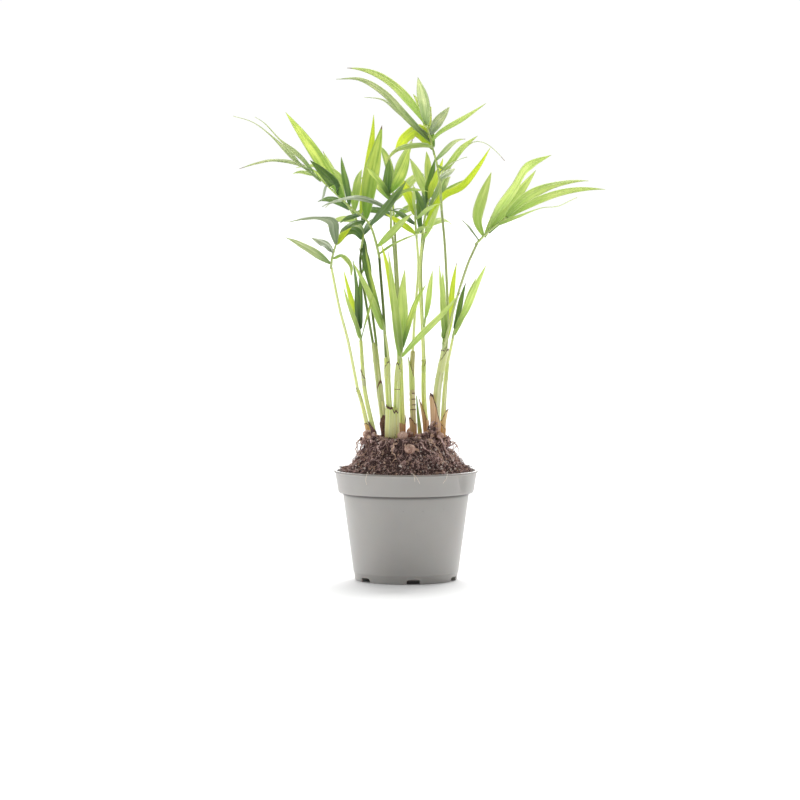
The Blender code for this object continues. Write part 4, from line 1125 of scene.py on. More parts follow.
    def build(self) -> None:
        """Makes the core and everything on it, and seats each kind."""
        rng = np.random.default_rng(SEED)
        self.seat("peat_core", self.core(), PEAT_DARK)
        clods = self.grains(self.heaps(), (0.35, 1.4), rng, (0, 0, 1, 1, 2, 2, 3))
        spread = self.scatter(self.crumb_count, rng, 0.0, 26.9)
        crumbs = self.grains(spread, (0.14, 0.85), rng, (0, 0, 0, 1, 1, 2, 2, 3))
        for name, shape in (("peat_clods", clods), ("peat_crumbs", crumbs)):
            self.seat(name, shape, PEAT_DARK, PEAT_BROWN, PEAT_RED, ROOT_TAN).data.shade_flat()
        count = self.perlite_right_count
        right = self.surface(rng.uniform(14.0, 26.0, count), rng.uniform(-1.4, -0.2, count))
        spread = np.vstack([self.scatter(self.perlite_count, rng, 6.0, 26.6), right])
        white = self.grains(spread * np.array([1.02, 1.02, 1.0]) + UP * 0.5, (0.18, 0.66), rng, (0,))
        self.seat("perlite_grains", white, PERLITE)
        self.seat("root_fibres", self.fibres(rng), PEAT_DARK, PEAT_RED, ROOT_TAN, ROOT_PALE)
        self.seat("root_loops", self.thick_roots(rng), ROOT_TAN, PEAT_RED)


@dataclass(frozen=True)
class Limb:
    """One round tapering limb: its course, and its radius at the foot and at the top, in millimetres."""

    name: str
    course: tuple[Point, ...]
    foot_radius: float
    top_radius: float


@dataclass(frozen=True)
class Sheath:
    """A papery leaf foot that wraps a limb: it starts at one height and ends in a point on one side.

    low and high are the heights of its open edge, away from and at its point, and side is the point's
    direction in degrees, from +X towards the back. clear is how far it stands off the limb at its edge, flare
    how much more it curls off at its point, teeth the number of jags in its edge, jag their height, and brown
    the share of the way up that is withered at its edge.
    """

    foot: float
    low: float
    high: float
    side: float
    finish: Finish
    clear: float = 0.25
    flare: float = 0.3
    teeth: int = 5
    jag: float = 0.35
    brown: float = 0.04


@dataclass
class Stem:
    """A stem or stalk: its limb, with leaf-scar rings where the nodes are, and the sheaths that wrap it.

    Its skin goes on past its course, by foot_run into the peat and by top_run at the top, where end_share
    of its radius is left.
    """

    limb: Limb
    finish: LimbFinish
    rings: tuple[float, ...] = ()
    sheaths: tuple[Sheath, ...] = ()
    sides: int = 20
    steps: int = 90
    foot_run: float = 1.4
    top_run: float = 0.5
    end_share: float = 0.55
    ring_swell: float = 0.13
    sheath_sides: int = 36
    sheath_wall: float = 0.14

    def skin(self) -> Shape:
        """The limb's surface: its radius tapers in a straight line and swells by a bell curve at each ring.

        A ring is brown over the part of its round where a cosine of the angle is above a low threshold.

        Returns:
            The surface's mesh.
        """
        course = along(smooth_course(self.limb.course, 6), np.linspace(0, 1, self.steps))
        below = course[0] - unit(course[1] - course[0]) * self.foot_run
        above = course[-1] + unit(course[-1] - course[-2]) * self.top_run
        course = np.vstack([below, course, above])
        radii = np.linspace(self.limb.foot_radius, self.limb.top_radius, len(course))
        numbers = np.zeros((len(course) - 1, self.sides), int)
        for height in self.rings:
            radii = radii + self.ring_swell * np.exp(-(((course[:, 2] - height) / 0.5) ** 2))
            nearest = np.argmin(np.abs(course[:-1, 2] - height))
            numbers[nearest] = np.cos(turns(self.sides) + 2.6 * height) > -0.1
        radii[-1] *= self.end_share
        shape = Shape()
        shape.add_cord(course, radii, self.sides, numbers)
        return shape

    def wrap(self, sheath: Sheath) -> Shape:
        """A sheath's thin wall.

        Its edge's height is low plus (high - low) times a power of the nearness to the point, with jags by
        the size of a cosine. Its radius is the limb's, plus clear times a power of the share of the way up,
        plus the flare times the cube of that share and the nearness. It is brown by its edge near its point.

        Args:
            sheath: The sheath.

        Returns:
            Its mesh: up the outside, over the edge and down the inside.
        """
        course, angle = smooth_course(self.limb.course, 8), turns(self.sheath_sides)
        near = ((1 + np.cos(angle - math.radians(sheath.side))) / 2) ** 2.2
        jags = np.abs(np.cos(sheath.teeth * angle / 2 + sheath.foot)) + 0.4 * np.sin(11 * angle)
        top = sheath.low + (sheath.high - sheath.low) * near + sheath.jag * jags
        share = np.linspace(0, 1, 15)[:, None]
        heights = sheath.foot + (top - sheath.foot) * share
        middles = np.stack([np.interp(heights, course[:, 2], course[:, axis]) for axis in range(2)], -1)
        ends = (course[0, 2], course[-1, 2])
        radius = np.interp(heights, ends, (self.limb.foot_radius, self.limb.top_radius))
        outer = radius + 0.04 + sheath.clear * share**0.7 + sheath.flare * share**3 * near
        walls = []
        for reach in (outer, outer - self.sheath_wall * (1.3 - share)):
            walls.append(polar(reach, angle, heights))
            walls[-1][..., :2] += middles
        rings = np.concatenate([walls[0], walls[1][::-1]])
        brown = np.concatenate([share[1:], [[1.0]], share[::-1][1:]]) > 1 - sheath.brown
        shape = Shape()
        lengthwise = np.linspace(0, 1, len(rings))
        shape.add_tube(rings, 2 * angle / math.pi, lengthwise, brown & (near > 0.1), sheath.foot % 1)
        return shape

    def build(self) -> None:
        """Makes and seats the limb and its sheaths."""
        name = self.limb.name
        slot = "stem_skin" if name.startswith("stem") else "stalk_skin"
        place(self.skin().build(f"{name}_skin", skins(self.finish, SHEATH_DARK)), slot, name)
        for number, sheath in enumerate(self.sheaths, start=1):
            shape = self.wrap(sheath)
            place(shape.build(f"{name}_sheath_{number}", skins(sheath.finish, SHEATH_DARK)), slot, name)


@dataclass(frozen=True)
class Leaflet:
    """One leaflet, from its seat on the rib (0 at the rib's foot, 1 on its end) to its tip.

    width is its widest and bow how far its middle rises over the straight line, both in millimetres. turn is
    how far its face turns to the right of the frond's, in degrees. fold is how far its sides fold down from
    the midrib, and lean how far its face looks up. dry is the share of the blade that is brown at the tip,
    and thread the share past which it is drawn out to a thread. via are points that its middle passes
    through, in place of the bow. peak is the share at which it is widest.
    """

    seat: float
    tip: Point
    width: float
    bow: float
    turn: float
    tint: Tint
    fold: float = 0.26
    lean: float = 0.35
    dry: float = 0.0
    thread: float = 1.0
    via: tuple[Point, ...] = ()
    peak: float = 0.44

    @property
    def end(self) -> bool:
        """Whether it grows on the rib's end."""
        return self.seat == 1


@dataclass
class Frond:
    """A frond: a slim rib and its leaflets, each grown from the rib's edge by the solids' own rule.

    places is the number of places for leaflets on each of the rib's sides. Two leaflets on the rib's end move
    apart where the angle between them is under twin_angle degrees. stalk_width is added to a blade's width
    at its foot, and tip_width all along it. sink is how far a blade's foot goes into the rib.
    """

    name: str
    rib: tuple[Point, ...]
    places: int
    leaves: tuple[Leaflet, ...]
    face: Point = FRONT
    twin_angle: float = 30.0
    rib_foot_width: float = 1.1
    rib_end_width: float = 0.8
    rib_radii: tuple = (0.52, 0.34)
    rib_swell: float = 0.05
    rib_end_radius: float = 0.2
    rib_run: float = 1.2
    rib_sides: int = 12
    rows: int = 30
    across: tuple = (-1, -0.85, -0.7, -0.55, -0.4, -0.26, -0.12, 0, 0.12, 0.26, 0.4, 0.55, 0.7, 0.85, 1.0)
    thickness: float = 0.2
    midrib_thickness: float = 0.16
    bow_spread: float = 0.25
    stalk_width: float = 0.85
    tip_width: float = 0.10
    thread_loss: float = 0.72
    twist: float = 14.0
    pleat: float = 0.05
    sink: float = 0.25
    pattern_length: float = 20.0

    def edges(self) -> tuple[Array, Array, Array, Array]:
        """The rib's course, the points of its left and right edges, and the point of its end.

        Returns:
            The course and the edges as rows, and the end.
        """
        course = smooth_course(self.rib)
        shares = np.linspace(0, 1, self.places + 1)
        here = along(course, shares)
        heading = unit(along(course, shares + 0.02) - along(course, shares - 0.02))
        across = unit(np.cross(heading, unit(np.array(self.face))))
        half = (self.rib_foot_width + (self.rib_end_width - self.rib_foot_width) * shares)[:, None] / 2
        top = here[-1] + heading[-1] * self.rib_end_width / 2
        return course, here - across * half, here + across * half, top

    def turned(self, leaf: Leaflet) -> Array:
        """The way that a leaflet's face looks: the frond's, turned about the upright axis and leaned up.

        Args:
            leaf: The leaflet.

        Returns:
            The direction.
        """
        face, turn = unit(np.array(self.face)), math.radians(leaf.turn)
        sideways = face[0] * math.cos(turn) - face[1] * math.sin(turn)
        return np.array([sideways, face[0] * math.sin(turn) + face[1] * math.cos(turn), face[2] + leaf.lean])

    def middle(self, leaf: Leaflet, base: Array, outward: Array, s: Array) -> tuple[Array, Array]:
        """A leaflet's middle line: a smooth course by way of its points, or a quadratic curve with its bow.

        Args:
            leaf: The leaflet.
            base: Where it leaves the rib.
            outward: The direction away from the rib.
            s: The shares of the way from base to tip, as a column.

        Returns:
            The line's points and its headings, as rows.
        """
        if leaf.via:
            points = along(smooth_course((tuple(base), *leaf.via, leaf.tip), 12), s[:, 0])
            return points, unit(np.gradient(points, axis=0))
        tip = np.array(leaf.tip, float)
        chord = unit(tip - base)
        lift = UP + self.bow_spread * outward
        control = (base + tip) / 2 + 2 * leaf.bow * unit(lift - chord * (lift @ chord))
        points = (1 - s) ** 2 * base + 2 * s * (1 - s) * control + s**2 * tip
        return points, unit(2 * (1 - s) * (control - base) + 2 * s * (tip - control))

    def blade(
        self, leaf: Leaflet, base: Array, outward: Array, twin: Leaflet | None, rng: Random
    ) -> tuple[Array, Array, Array]:
        """A leaflet's closed thin shell.

        Its width is the share from the tip times a power of the share from the foot, so chosen that it is
        widest at the peak. Across, it folds down on both sides of the midrib, has shallow pleats by a cosine,
        and waves along its edges by a sine.

        Args:
            leaf: The leaflet.
            base: Where it leaves the rib.
            outward: The direction away from the rib.
            twin: The other leaflet on the rib's end, if it has one.
            rng: The source of its small differences.

        Returns:
            The rings, the places across the pattern, and the places along it.
        """
        chord = np.array(leaf.tip, float) - base
        length = np.linalg.norm(chord)
        s = np.linspace(0, 1, self.rows)
        s = ((1 - np.cos(math.pi * s)) / 4 + s / 2)[:, None]
        middle, heading = self.middle(leaf, base, outward, s)
        across = unit(np.cross(heading, self.turned(leaf)))
        normal = np.cross(across, heading)
        outline = (s / leaf.peak) ** (leaf.peak / (1 - leaf.peak)) * (1 - s) / (1 - leaf.peak)
        if leaf.thread < 1:
            outline = outline * (1 - self.thread_loss * smoothstep(s, leaf.thread - 0.2, leaf.thread + 0.15))
        width = leaf.width * 1.02 * outline + self.stalk_width * (1 - s) ** 6 + self.tip_width
        if twin is not None:
            other = np.array(twin.tip, float) - base
            between = math.degrees(math.acos(np.clip(unit(chord) @ unit(other), -1.0, 1.0)))
            closeness = max(0.0, 1.0 - between / self.twin_angle)
            sign = np.where((across * (chord - other)).sum(axis=1, keepdims=True) > 0, 1.0, -1.0)
            middle = middle + sign * across * (width / 2 + 0.35) * closeness * smoothstep(s, 0.0, 0.12)
        sway = rng.uniform(-0.02, 0.02) * length * np.sin(math.pi * s)
        sway = sway + rng.uniform(-0.012, 0.012) * length * np.sin(2 * math.pi * s)
        middle = middle + across * sway * (0.4 if leaf.via else 1.0)
        twist = math.radians(rng.uniform(-self.twist, self.twist)) * smoothstep(s, 0.1, 0.9)
        cos, sin = np.cos(twist), np.sin(twist)
        across, normal = across * cos + normal * sin, normal * cos - across * sin
        v = np.array(self.across)
        fold = leaf.fold * rng.uniform(0.75, 1.3) * (1 - 0.55 * s)
        pleat = self.pleat * np.cos(np.abs(v) * 2.5 * math.pi) * (1 - 0.7 * s)
        wave = rng.uniform(0.04, 0.12) * np.sin(s * rng.uniform(9, 17) + rng.uniform(0, 6))
        rise = pleat - fold * np.abs(v) ** 1.15 + wave * v**2 * np.sign(v + rng.uniform(-0.4, 0.4))
        upper = middle[:, None] + across[:, None] * (v[None, :, None] * width[:, None] / 2)
        upper = upper + normal[:, None] * (rise * width / 2)[..., None]
        thick = self.thickness * (1 - 0.35 * v**2) + self.midrib_thickness * np.exp(-((v / 0.12) ** 2))
        lower = upper - normal[:, None] * (thick[None] * (1 - 0.25 * s))[..., None]
        rings = np.concatenate([upper, lower[:, -2:0:-1]], axis=1)
        rings = rings - unit(heading[0]) * self.sink * (1 - smoothstep(s, 0.0, 0.05))[:, :, None]
        return rings, np.concatenate([v, v[-2:0:-1]]) / 2 + 0.5, s[:, 0] * length / self.pattern_length

    def grown(self) -> list[tuple[Leaflet, Array, Array, Leaflet | None]]:
        """Each leaflet with its foot on the rib, the direction away from the rib there, and its twin.

        The leaflets on the rib's end share its two corners. Each other one takes the free place on its side
        of the rib that is nearest to its seat.

        Returns:
            Of each leaflet, itself, its foot, the direction and its twin.
        """
        course, left, right, top = self.edges()
        sideways = right[-1] - left[-1]
        ends = [leaf for leaf in self.leaves if leaf.end]
        ends.sort(key=lambda leaf: (np.array(leaf.tip) - top) @ sideways)
        feet = [(left[-1] + top) / 2, (top + right[-1]) / 2]
        if len(ends) == 1 and (np.array(ends[0].tip) - top) @ sideways >= 0:
            feet = feet[1:]
        twins = ends[::-1] if len(ends) == 2 else [None]
        grown = [
            (leaf, foot, unit(np.array(leaf.tip) - top), twin) for leaf, foot, twin in zip(ends, feet, twins)
        ]
        taken: set[tuple[int, bool]] = set()
        for leaf in self.leaves:
            if leaf.end:
                continue
            near = min(int(leaf.seat * self.places), self.places - 1)
            sideways = unit(right[near] - left[near])
            on_right = (np.array(leaf.tip) - along(course, leaf.seat)) @ sideways > 0
            order = sorted(range(self.places), key=lambda i: abs(i - near))
            spot = next(i for i in order if (i, on_right) not in taken)
            taken.add((spot, on_right))
            edge = right if on_right else left
            grown.append((leaf, (edge[spot] + edge[spot + 1]) / 2, sideways * (1 if on_right else -1), None))
        return grown

    def leaflets(self, rng: Random) -> Shape:
        """The leaflets as one mesh, each dry from a share of its length on, some only at the very tip.

        Args:
            rng: The source of random numbers.

        Returns:
            The leaflets' mesh.
        """
        shape = Shape()
        for leaf, foot, outward, twin in self.grown():
            rings, across, lengthwise = self.blade(leaf, foot, outward, twin, rng)
            dry = leaf.dry or (0.03 if rng.random() < 0.3 else 0.0)
            bands = np.full(len(rings) - 1, leaf.tint.value)
            bands[lengthwise[1:] > lengthwise[-1] * (1 - dry) + 1e-6] = Tint.DRY.value
            shape.add_tube(rings, across, lengthwise, bands, rng.random())
        return shape

    def ribs(self) -> Shape:
        """The rib: a tube that tapers in a straight line, with a swelling by a sine between its places.

        Returns:
            The rib's mesh.
        """
        fine = along(smooth_course(self.rib), np.linspace(0, 1, 6 * self.places + 1))
        fine = np.vstack([fine[0] - unit(fine[1] - fine[0]) * self.rib_run, fine, self.edges()[3]])
        swell = np.abs(np.sin(np.linspace(0, math.pi * self.places, len(fine))))
        radii = np.linspace(*self.rib_radii, len(fine)) + self.rib_swell * swell
        radii[-1] = self.rib_end_radius
        shape = Shape()
        shape.add_cord(fine, radii, self.rib_sides, 0)
        return shape

    def build(self, rng: Random) -> None:
        """Makes and seats the leaflets and the rib.

        Args:
            rng: The source of random numbers.
        """
        leaves = self.leaflets(rng).build(f"{self.name}_leaflets", skins(*LEAF_FINISHES))
        place(leaves, "leaf_skin", self.name)
        place(self.ribs().build(f"{self.name}_rib", skins(RIB_GREEN)), "stalk_skin", self.name)


@dataclass
class SeedHusk:
    """A round seed husk on the peat. One that is no solid of its own belongs to the bed, its node.

    rise is how high its middle is over the peat, and squash its reach along the axes, as shares of its
    radius. So are the depths of its furrows and dimples.
    """

    name: str
    x: float
    y: float
    radius: float
    finish: EarthFinish = HUSK
    bed_top: float = BED_TOP
    node: str = ""
    rows: int = 22
    sides: int = 32
    rise: float = 0.86
    squash: Point = (1.0, 0.94, 0.88)
    furrow_count: int = 7
    furrow_depth: float = 0.03
    dimple_depth: float = 0.05

    def middle(self) -> Array:
        """The husk's middle, sunk a little in the peat."""
        return np.array([self.x, self.y, self.bed_top + self.rise * self.radius])

    def build(self) -> None:
        """Makes the husk: a ball whose radius has furrows by a sine of the angle and dimples by noise."""
        tilt = np.linspace(0.06, math.pi - 0.06, self.rows)[::-1][:, None]
        angle = turns(self.sides)
        direction = polar(np.sin(tilt), angle, np.cos(tilt))
        dimple = value_noise(direction * self.radius + self.x, 1.1, 5) * self.dimple_depth
        furrow = self.furrow_depth * np.sin(self.furrow_count * angle + 3 * tilt) * np.sin(tilt)
        points = direction * (self.radius * (1 + dimple + furrow))[..., None]
        points = points * np.array(self.squash) + self.middle()
        shape = Shape()
        shape.add_tube(points, angle / TURN, np.linspace(0, 1, self.rows))
        slot = "peat" if self.node else "seed_husk"
        place(shape.build(f"{self.name}_husk", skins(self.finish)), slot, self.node or self.name)


SEEDS = (
    SeedHusk("seed_left", -16, -3.6, 2.1),
    SeedHusk("seed_front", -1.4, -12.6, 2.1),
    SeedHusk("seed_middle", 1.4, -8, 1.89, HUSK_RED),
    SeedHusk("seed_right", 14.2, -8.6, 1.68),
    SeedHusk("seed_back", 2.4, 14.4, 2.1),
    SeedHusk("slope", 1.6, -18.2, 2.3, HUSK, 54, "root_bed"),
)

STEMS = (
    Stem(
        Limb(
            "stem_1", ((-15.6, 1, BED_TOP), (-15.9, 1, 62.6), (-18.2, 0.6, 73), (-20.1, 0, 79.4)),
            1, 0.75,
        ),
        STEM_YELLOW, (78.9,), (
            Sheath(60, 63.6, 65.4, 250, SHEATH_TAN, 0.12, 0.1),
            Sheath(74.5, 76.6, 80.6, 200, COAT_YELLOW, 0.06, 0.1),
        ),
    ),
    Stem(
        Limb(
            "stem_2", ((-13.2, -6, BED_TOP), (-13.6, -6, 63), (-17.2, -6, 80), (-18.8, -6, 100.2)),
            1.05, 0.7,
        ),
        STEM_GREEN, (84.2,), (
            Sheath(59.4, 62.4, 66.6, 200, SHEATH_DARK, 0.2, 0.3),
            Sheath(81.5, 84, 88.2, 200, COAT_GREY, 0.06, 0.1, brown=0.12),
        ),
    ),
    Stem(
        Limb(
            "stem_3", ((-8.8, 5.4, BED_TOP), (-9, 5.4, 63), (-11.6, 5.3, 84), (-13.2, 5.2, 98.6)),
            1.5, 1.25,
        ),
        STEM_GREY, (91.4,), (
            Sheath(59.4, 64.4, 68.4, 300, SHEATH_DARK, 0.4, 0.3, 3, 0.8),
            Sheath(74.6, 77.6, 83, 300, COAT_GREY, 0.08, 0.12, brown=0.08),
        ),
    ),
    Stem(
        Limb("stem_4_collar", ((-5.7, -6, BED_TOP), (-5.8, -6, 63), (-5.7, -6, 72.3)), 3.1, 2.6),
        STEM_PALE, (), (Sheath(59.4, 69.8, 72.6, 215, COAT_PALE, 0.1, 0.1, 7, 1.1, 0.06),),
    ),
    Stem(
        Limb("stem_4_left", ((-7, -6, 72.6), (-7.2, -6, 75), (-7.7, -6, 85), (-7.9, -6, 93)), 1.3, 1.25),
        STEM_PALE, (), (Sheath(84.6, 87.8, 91.4, 300, COAT_PALE, 0.08, 0.12),),
    ),
    Stem(
        Limb(
            "stem_4_right", ((-4.1, -6, 72.6), (-4, -6, 75), (-3.6, -6.1, 85), (-2.8, -6.2, 91.2)),
            1.25, 1.15,
        ),
        STEM_PALE, (80,), (Sheath(83.4, 86.6, 91, 230, COAT_PALE, 0.08, 0.12),),
    ),
    Stem(
        Limb("stem_5", ((3.1, 8, BED_TOP), (3.1, 8, 63), (2.5, 8.2, 84), (2.9, 8.4, 95)), 1.35, 1),
        STEM_OLD, (70.5, 72.6, 75, 77.4), (
            Sheath(59.4, 64.2, 67.2, 200, SHEATH_BROWN, 0.25, 0.3, 3, 0.8),
            Sheath(79, 84, 92.8, 195, COAT_GREEN, 0.12, 0.9),
        ),
    ),
    Stem(
        Limb(
            "stem_6_spear", ((5.8, -3, BED_TOP), (5.8, -3, 62), (5, -3.2, 70), (4.4, -3.4, 76.9)),
            1.1, 0.2,
        ),
        SPEAR_GREEN,
    ),
    Stem(
        Limb("stem_7", ((8.6, 11, BED_TOP), (8.4, 11, 64), (7.5, 11, 77), (7.5, 11, 91.5)), 1.2, 0.9),
        STEM_GREEN, (91.2,), (
            Sheath(59.6, 65.4, 75.2, 190, SHEATH_BROWN, 0.3, 0.9, 3, 0.7),
            Sheath(86.6, 88.8, 91.6, 20, COAT_GREEN, 0.05, 0.08, brown=0.1),
        ),
    ),
    Stem(
        Limb("stem_8", ((12.2, -5, BED_TOP), (12.2, -5, 63), (13.2, -5, 80), (16.2, -5, 96.6)), 1.9, 1.45),
        STEM_LIME, (84, 95.6), (
            Sheath(59.6, 65, 78.2, 212, SHEATH_BROWN, 0.5, 1.1, 3, 0.7),
            Sheath(87, 91, 96.8, 330, COAT_YELLOW, 0.08, 0.15),
        ),
    ),
    Stem(
        Limb("stem_9", ((15.4, 1.4, BED_TOP), (15.3, 1.4, 62), (16.2, 1.6, 78), (17.3, 2, 90.2)), 1.2, 0.8),
        STEM_LIME, (84,), (
            Sheath(59.5, 62.6, 65.6, 200, SHEATH_TAN, 0.35, 0.4, 3, 0.7),
            Sheath(61, 65.8, 71.2, 340, SHEATH_TAN, 0.2, 0.8, 3, 0.6),
        ),
    ),
    Stem(
        Limb("stem_10", ((-1.6, 13.6, BED_TOP), (-1.6, 13.6, 63), (-2, 14, 78), (-2.4, 14.6, 92)), 1.4, 1),
        STEM_GREEN, (86,), (Sheath(59.5, 64, 69, 90, SHEATH_BROWN, 0.3, 0.5, 3, 0.8),),
    ),
)

STALKS = tuple(
    Stem(Limb(f"stalk_{name}", course, foot, top), finish, sides=14)
    for name, finish, foot, top, course in (
        ("low_left", STALK_LIME, 0.65, 0.5, (
            (-20.2, -0.1, 79.8), (-24.2, -4, 100.3), (-27.6, -8, 113.7), (-30.9, -12, 131),
        )),
        ("arch_left", STALK_DARK, 0.55, 0.5, (
            (-13.9, 5.5, 99), (-16.9, 8, 116.6), (-19.2, 11, 131), (-18.7, 12, 138.4),
        )),
        ("back_left", STALK_DARK, 0.55, 0.5, (
            (-12.5, 5, 99), (-14.6, 10, 115.8), (-16.4, 20, 134), (-18.8, 28, 146),
        )),
        ("low_middle", STALK_OLIVE, 0.5, 0.45, ((-7.3, -6.9, 93.4), (-8, -7.2, 99), (-8.8, -7.4, 104))),
        ("big_left", STALK_DARK, 0.65, 0.55, (
            (-8.3, -5.3, 93.4), (-9.4, -4.2, 112.9), (-10.6, -3.4, 127.9), (-11.1, -3, 134.6),
        )),
        ("centre", STALK_OLIVE, 0.5, 0.5, (
            (-3.2, -5.3, 91.7), (-3.9, -4.2, 117), (-5, -3.2, 137.9), (-6.3, -4, 147),
        )),
        ("fan_front", STALK_LIME, 0.6, 0.5, (
            (2.9, 8.4, 95.4), (3.8, 7.6, 111.6), (5.2, 6.6, 130), (4.4, 5, 143.4),
        )),
        ("fan_middle", STALK_LIME, 0.55, 0.5, (
            (7.2, 10.7, 91.9), (6.7, 12, 105.8), (5.7, 14, 126), (6.7, 16, 140.6),
        )),
        ("back_right", STALK_OLIVE, 0.45, 0.45, (
            (7.9, 11.7, 91.9), (7, 17, 112), (6.6, 24, 132), (8.5, 30, 146),
        )),
        ("tall", STALK_OLIVE, 0.6, 0.5, (
            (16.8, -4.6, 97), (17.4, -3.6, 111.6), (16.3, -1, 137.9), (14.8, 1, 155),
        )),
        ("right", STALK_OLIVE, 0.55, 0.5, (
            (15.7, -5.9, 97), (17.8, -7, 105.8), (21, -9, 117.9), (25.5, -12.6, 132.1), (29.3, -15, 140.7),
        )),
        ("low_right", STALK_LIME, 0.65, 0.5, ((17.4, 2, 90.6), (18.6, 2.3, 96), (19.7, 2.5, 101.6))),
        ("back_middle", STALK_OLIVE, 0.6, 0.5, (
            (-2.4, 14.7, 92.4), (-2.8, 17, 112), (-4, 24, 134), (-5, 30, 150),
        )),
    )
)

S, L, F, D, G, V = Tint.SPRING, Tint.LIME, Tint.FRESH, Tint.DEEP, Tint.SAGE, Tint.SILVER

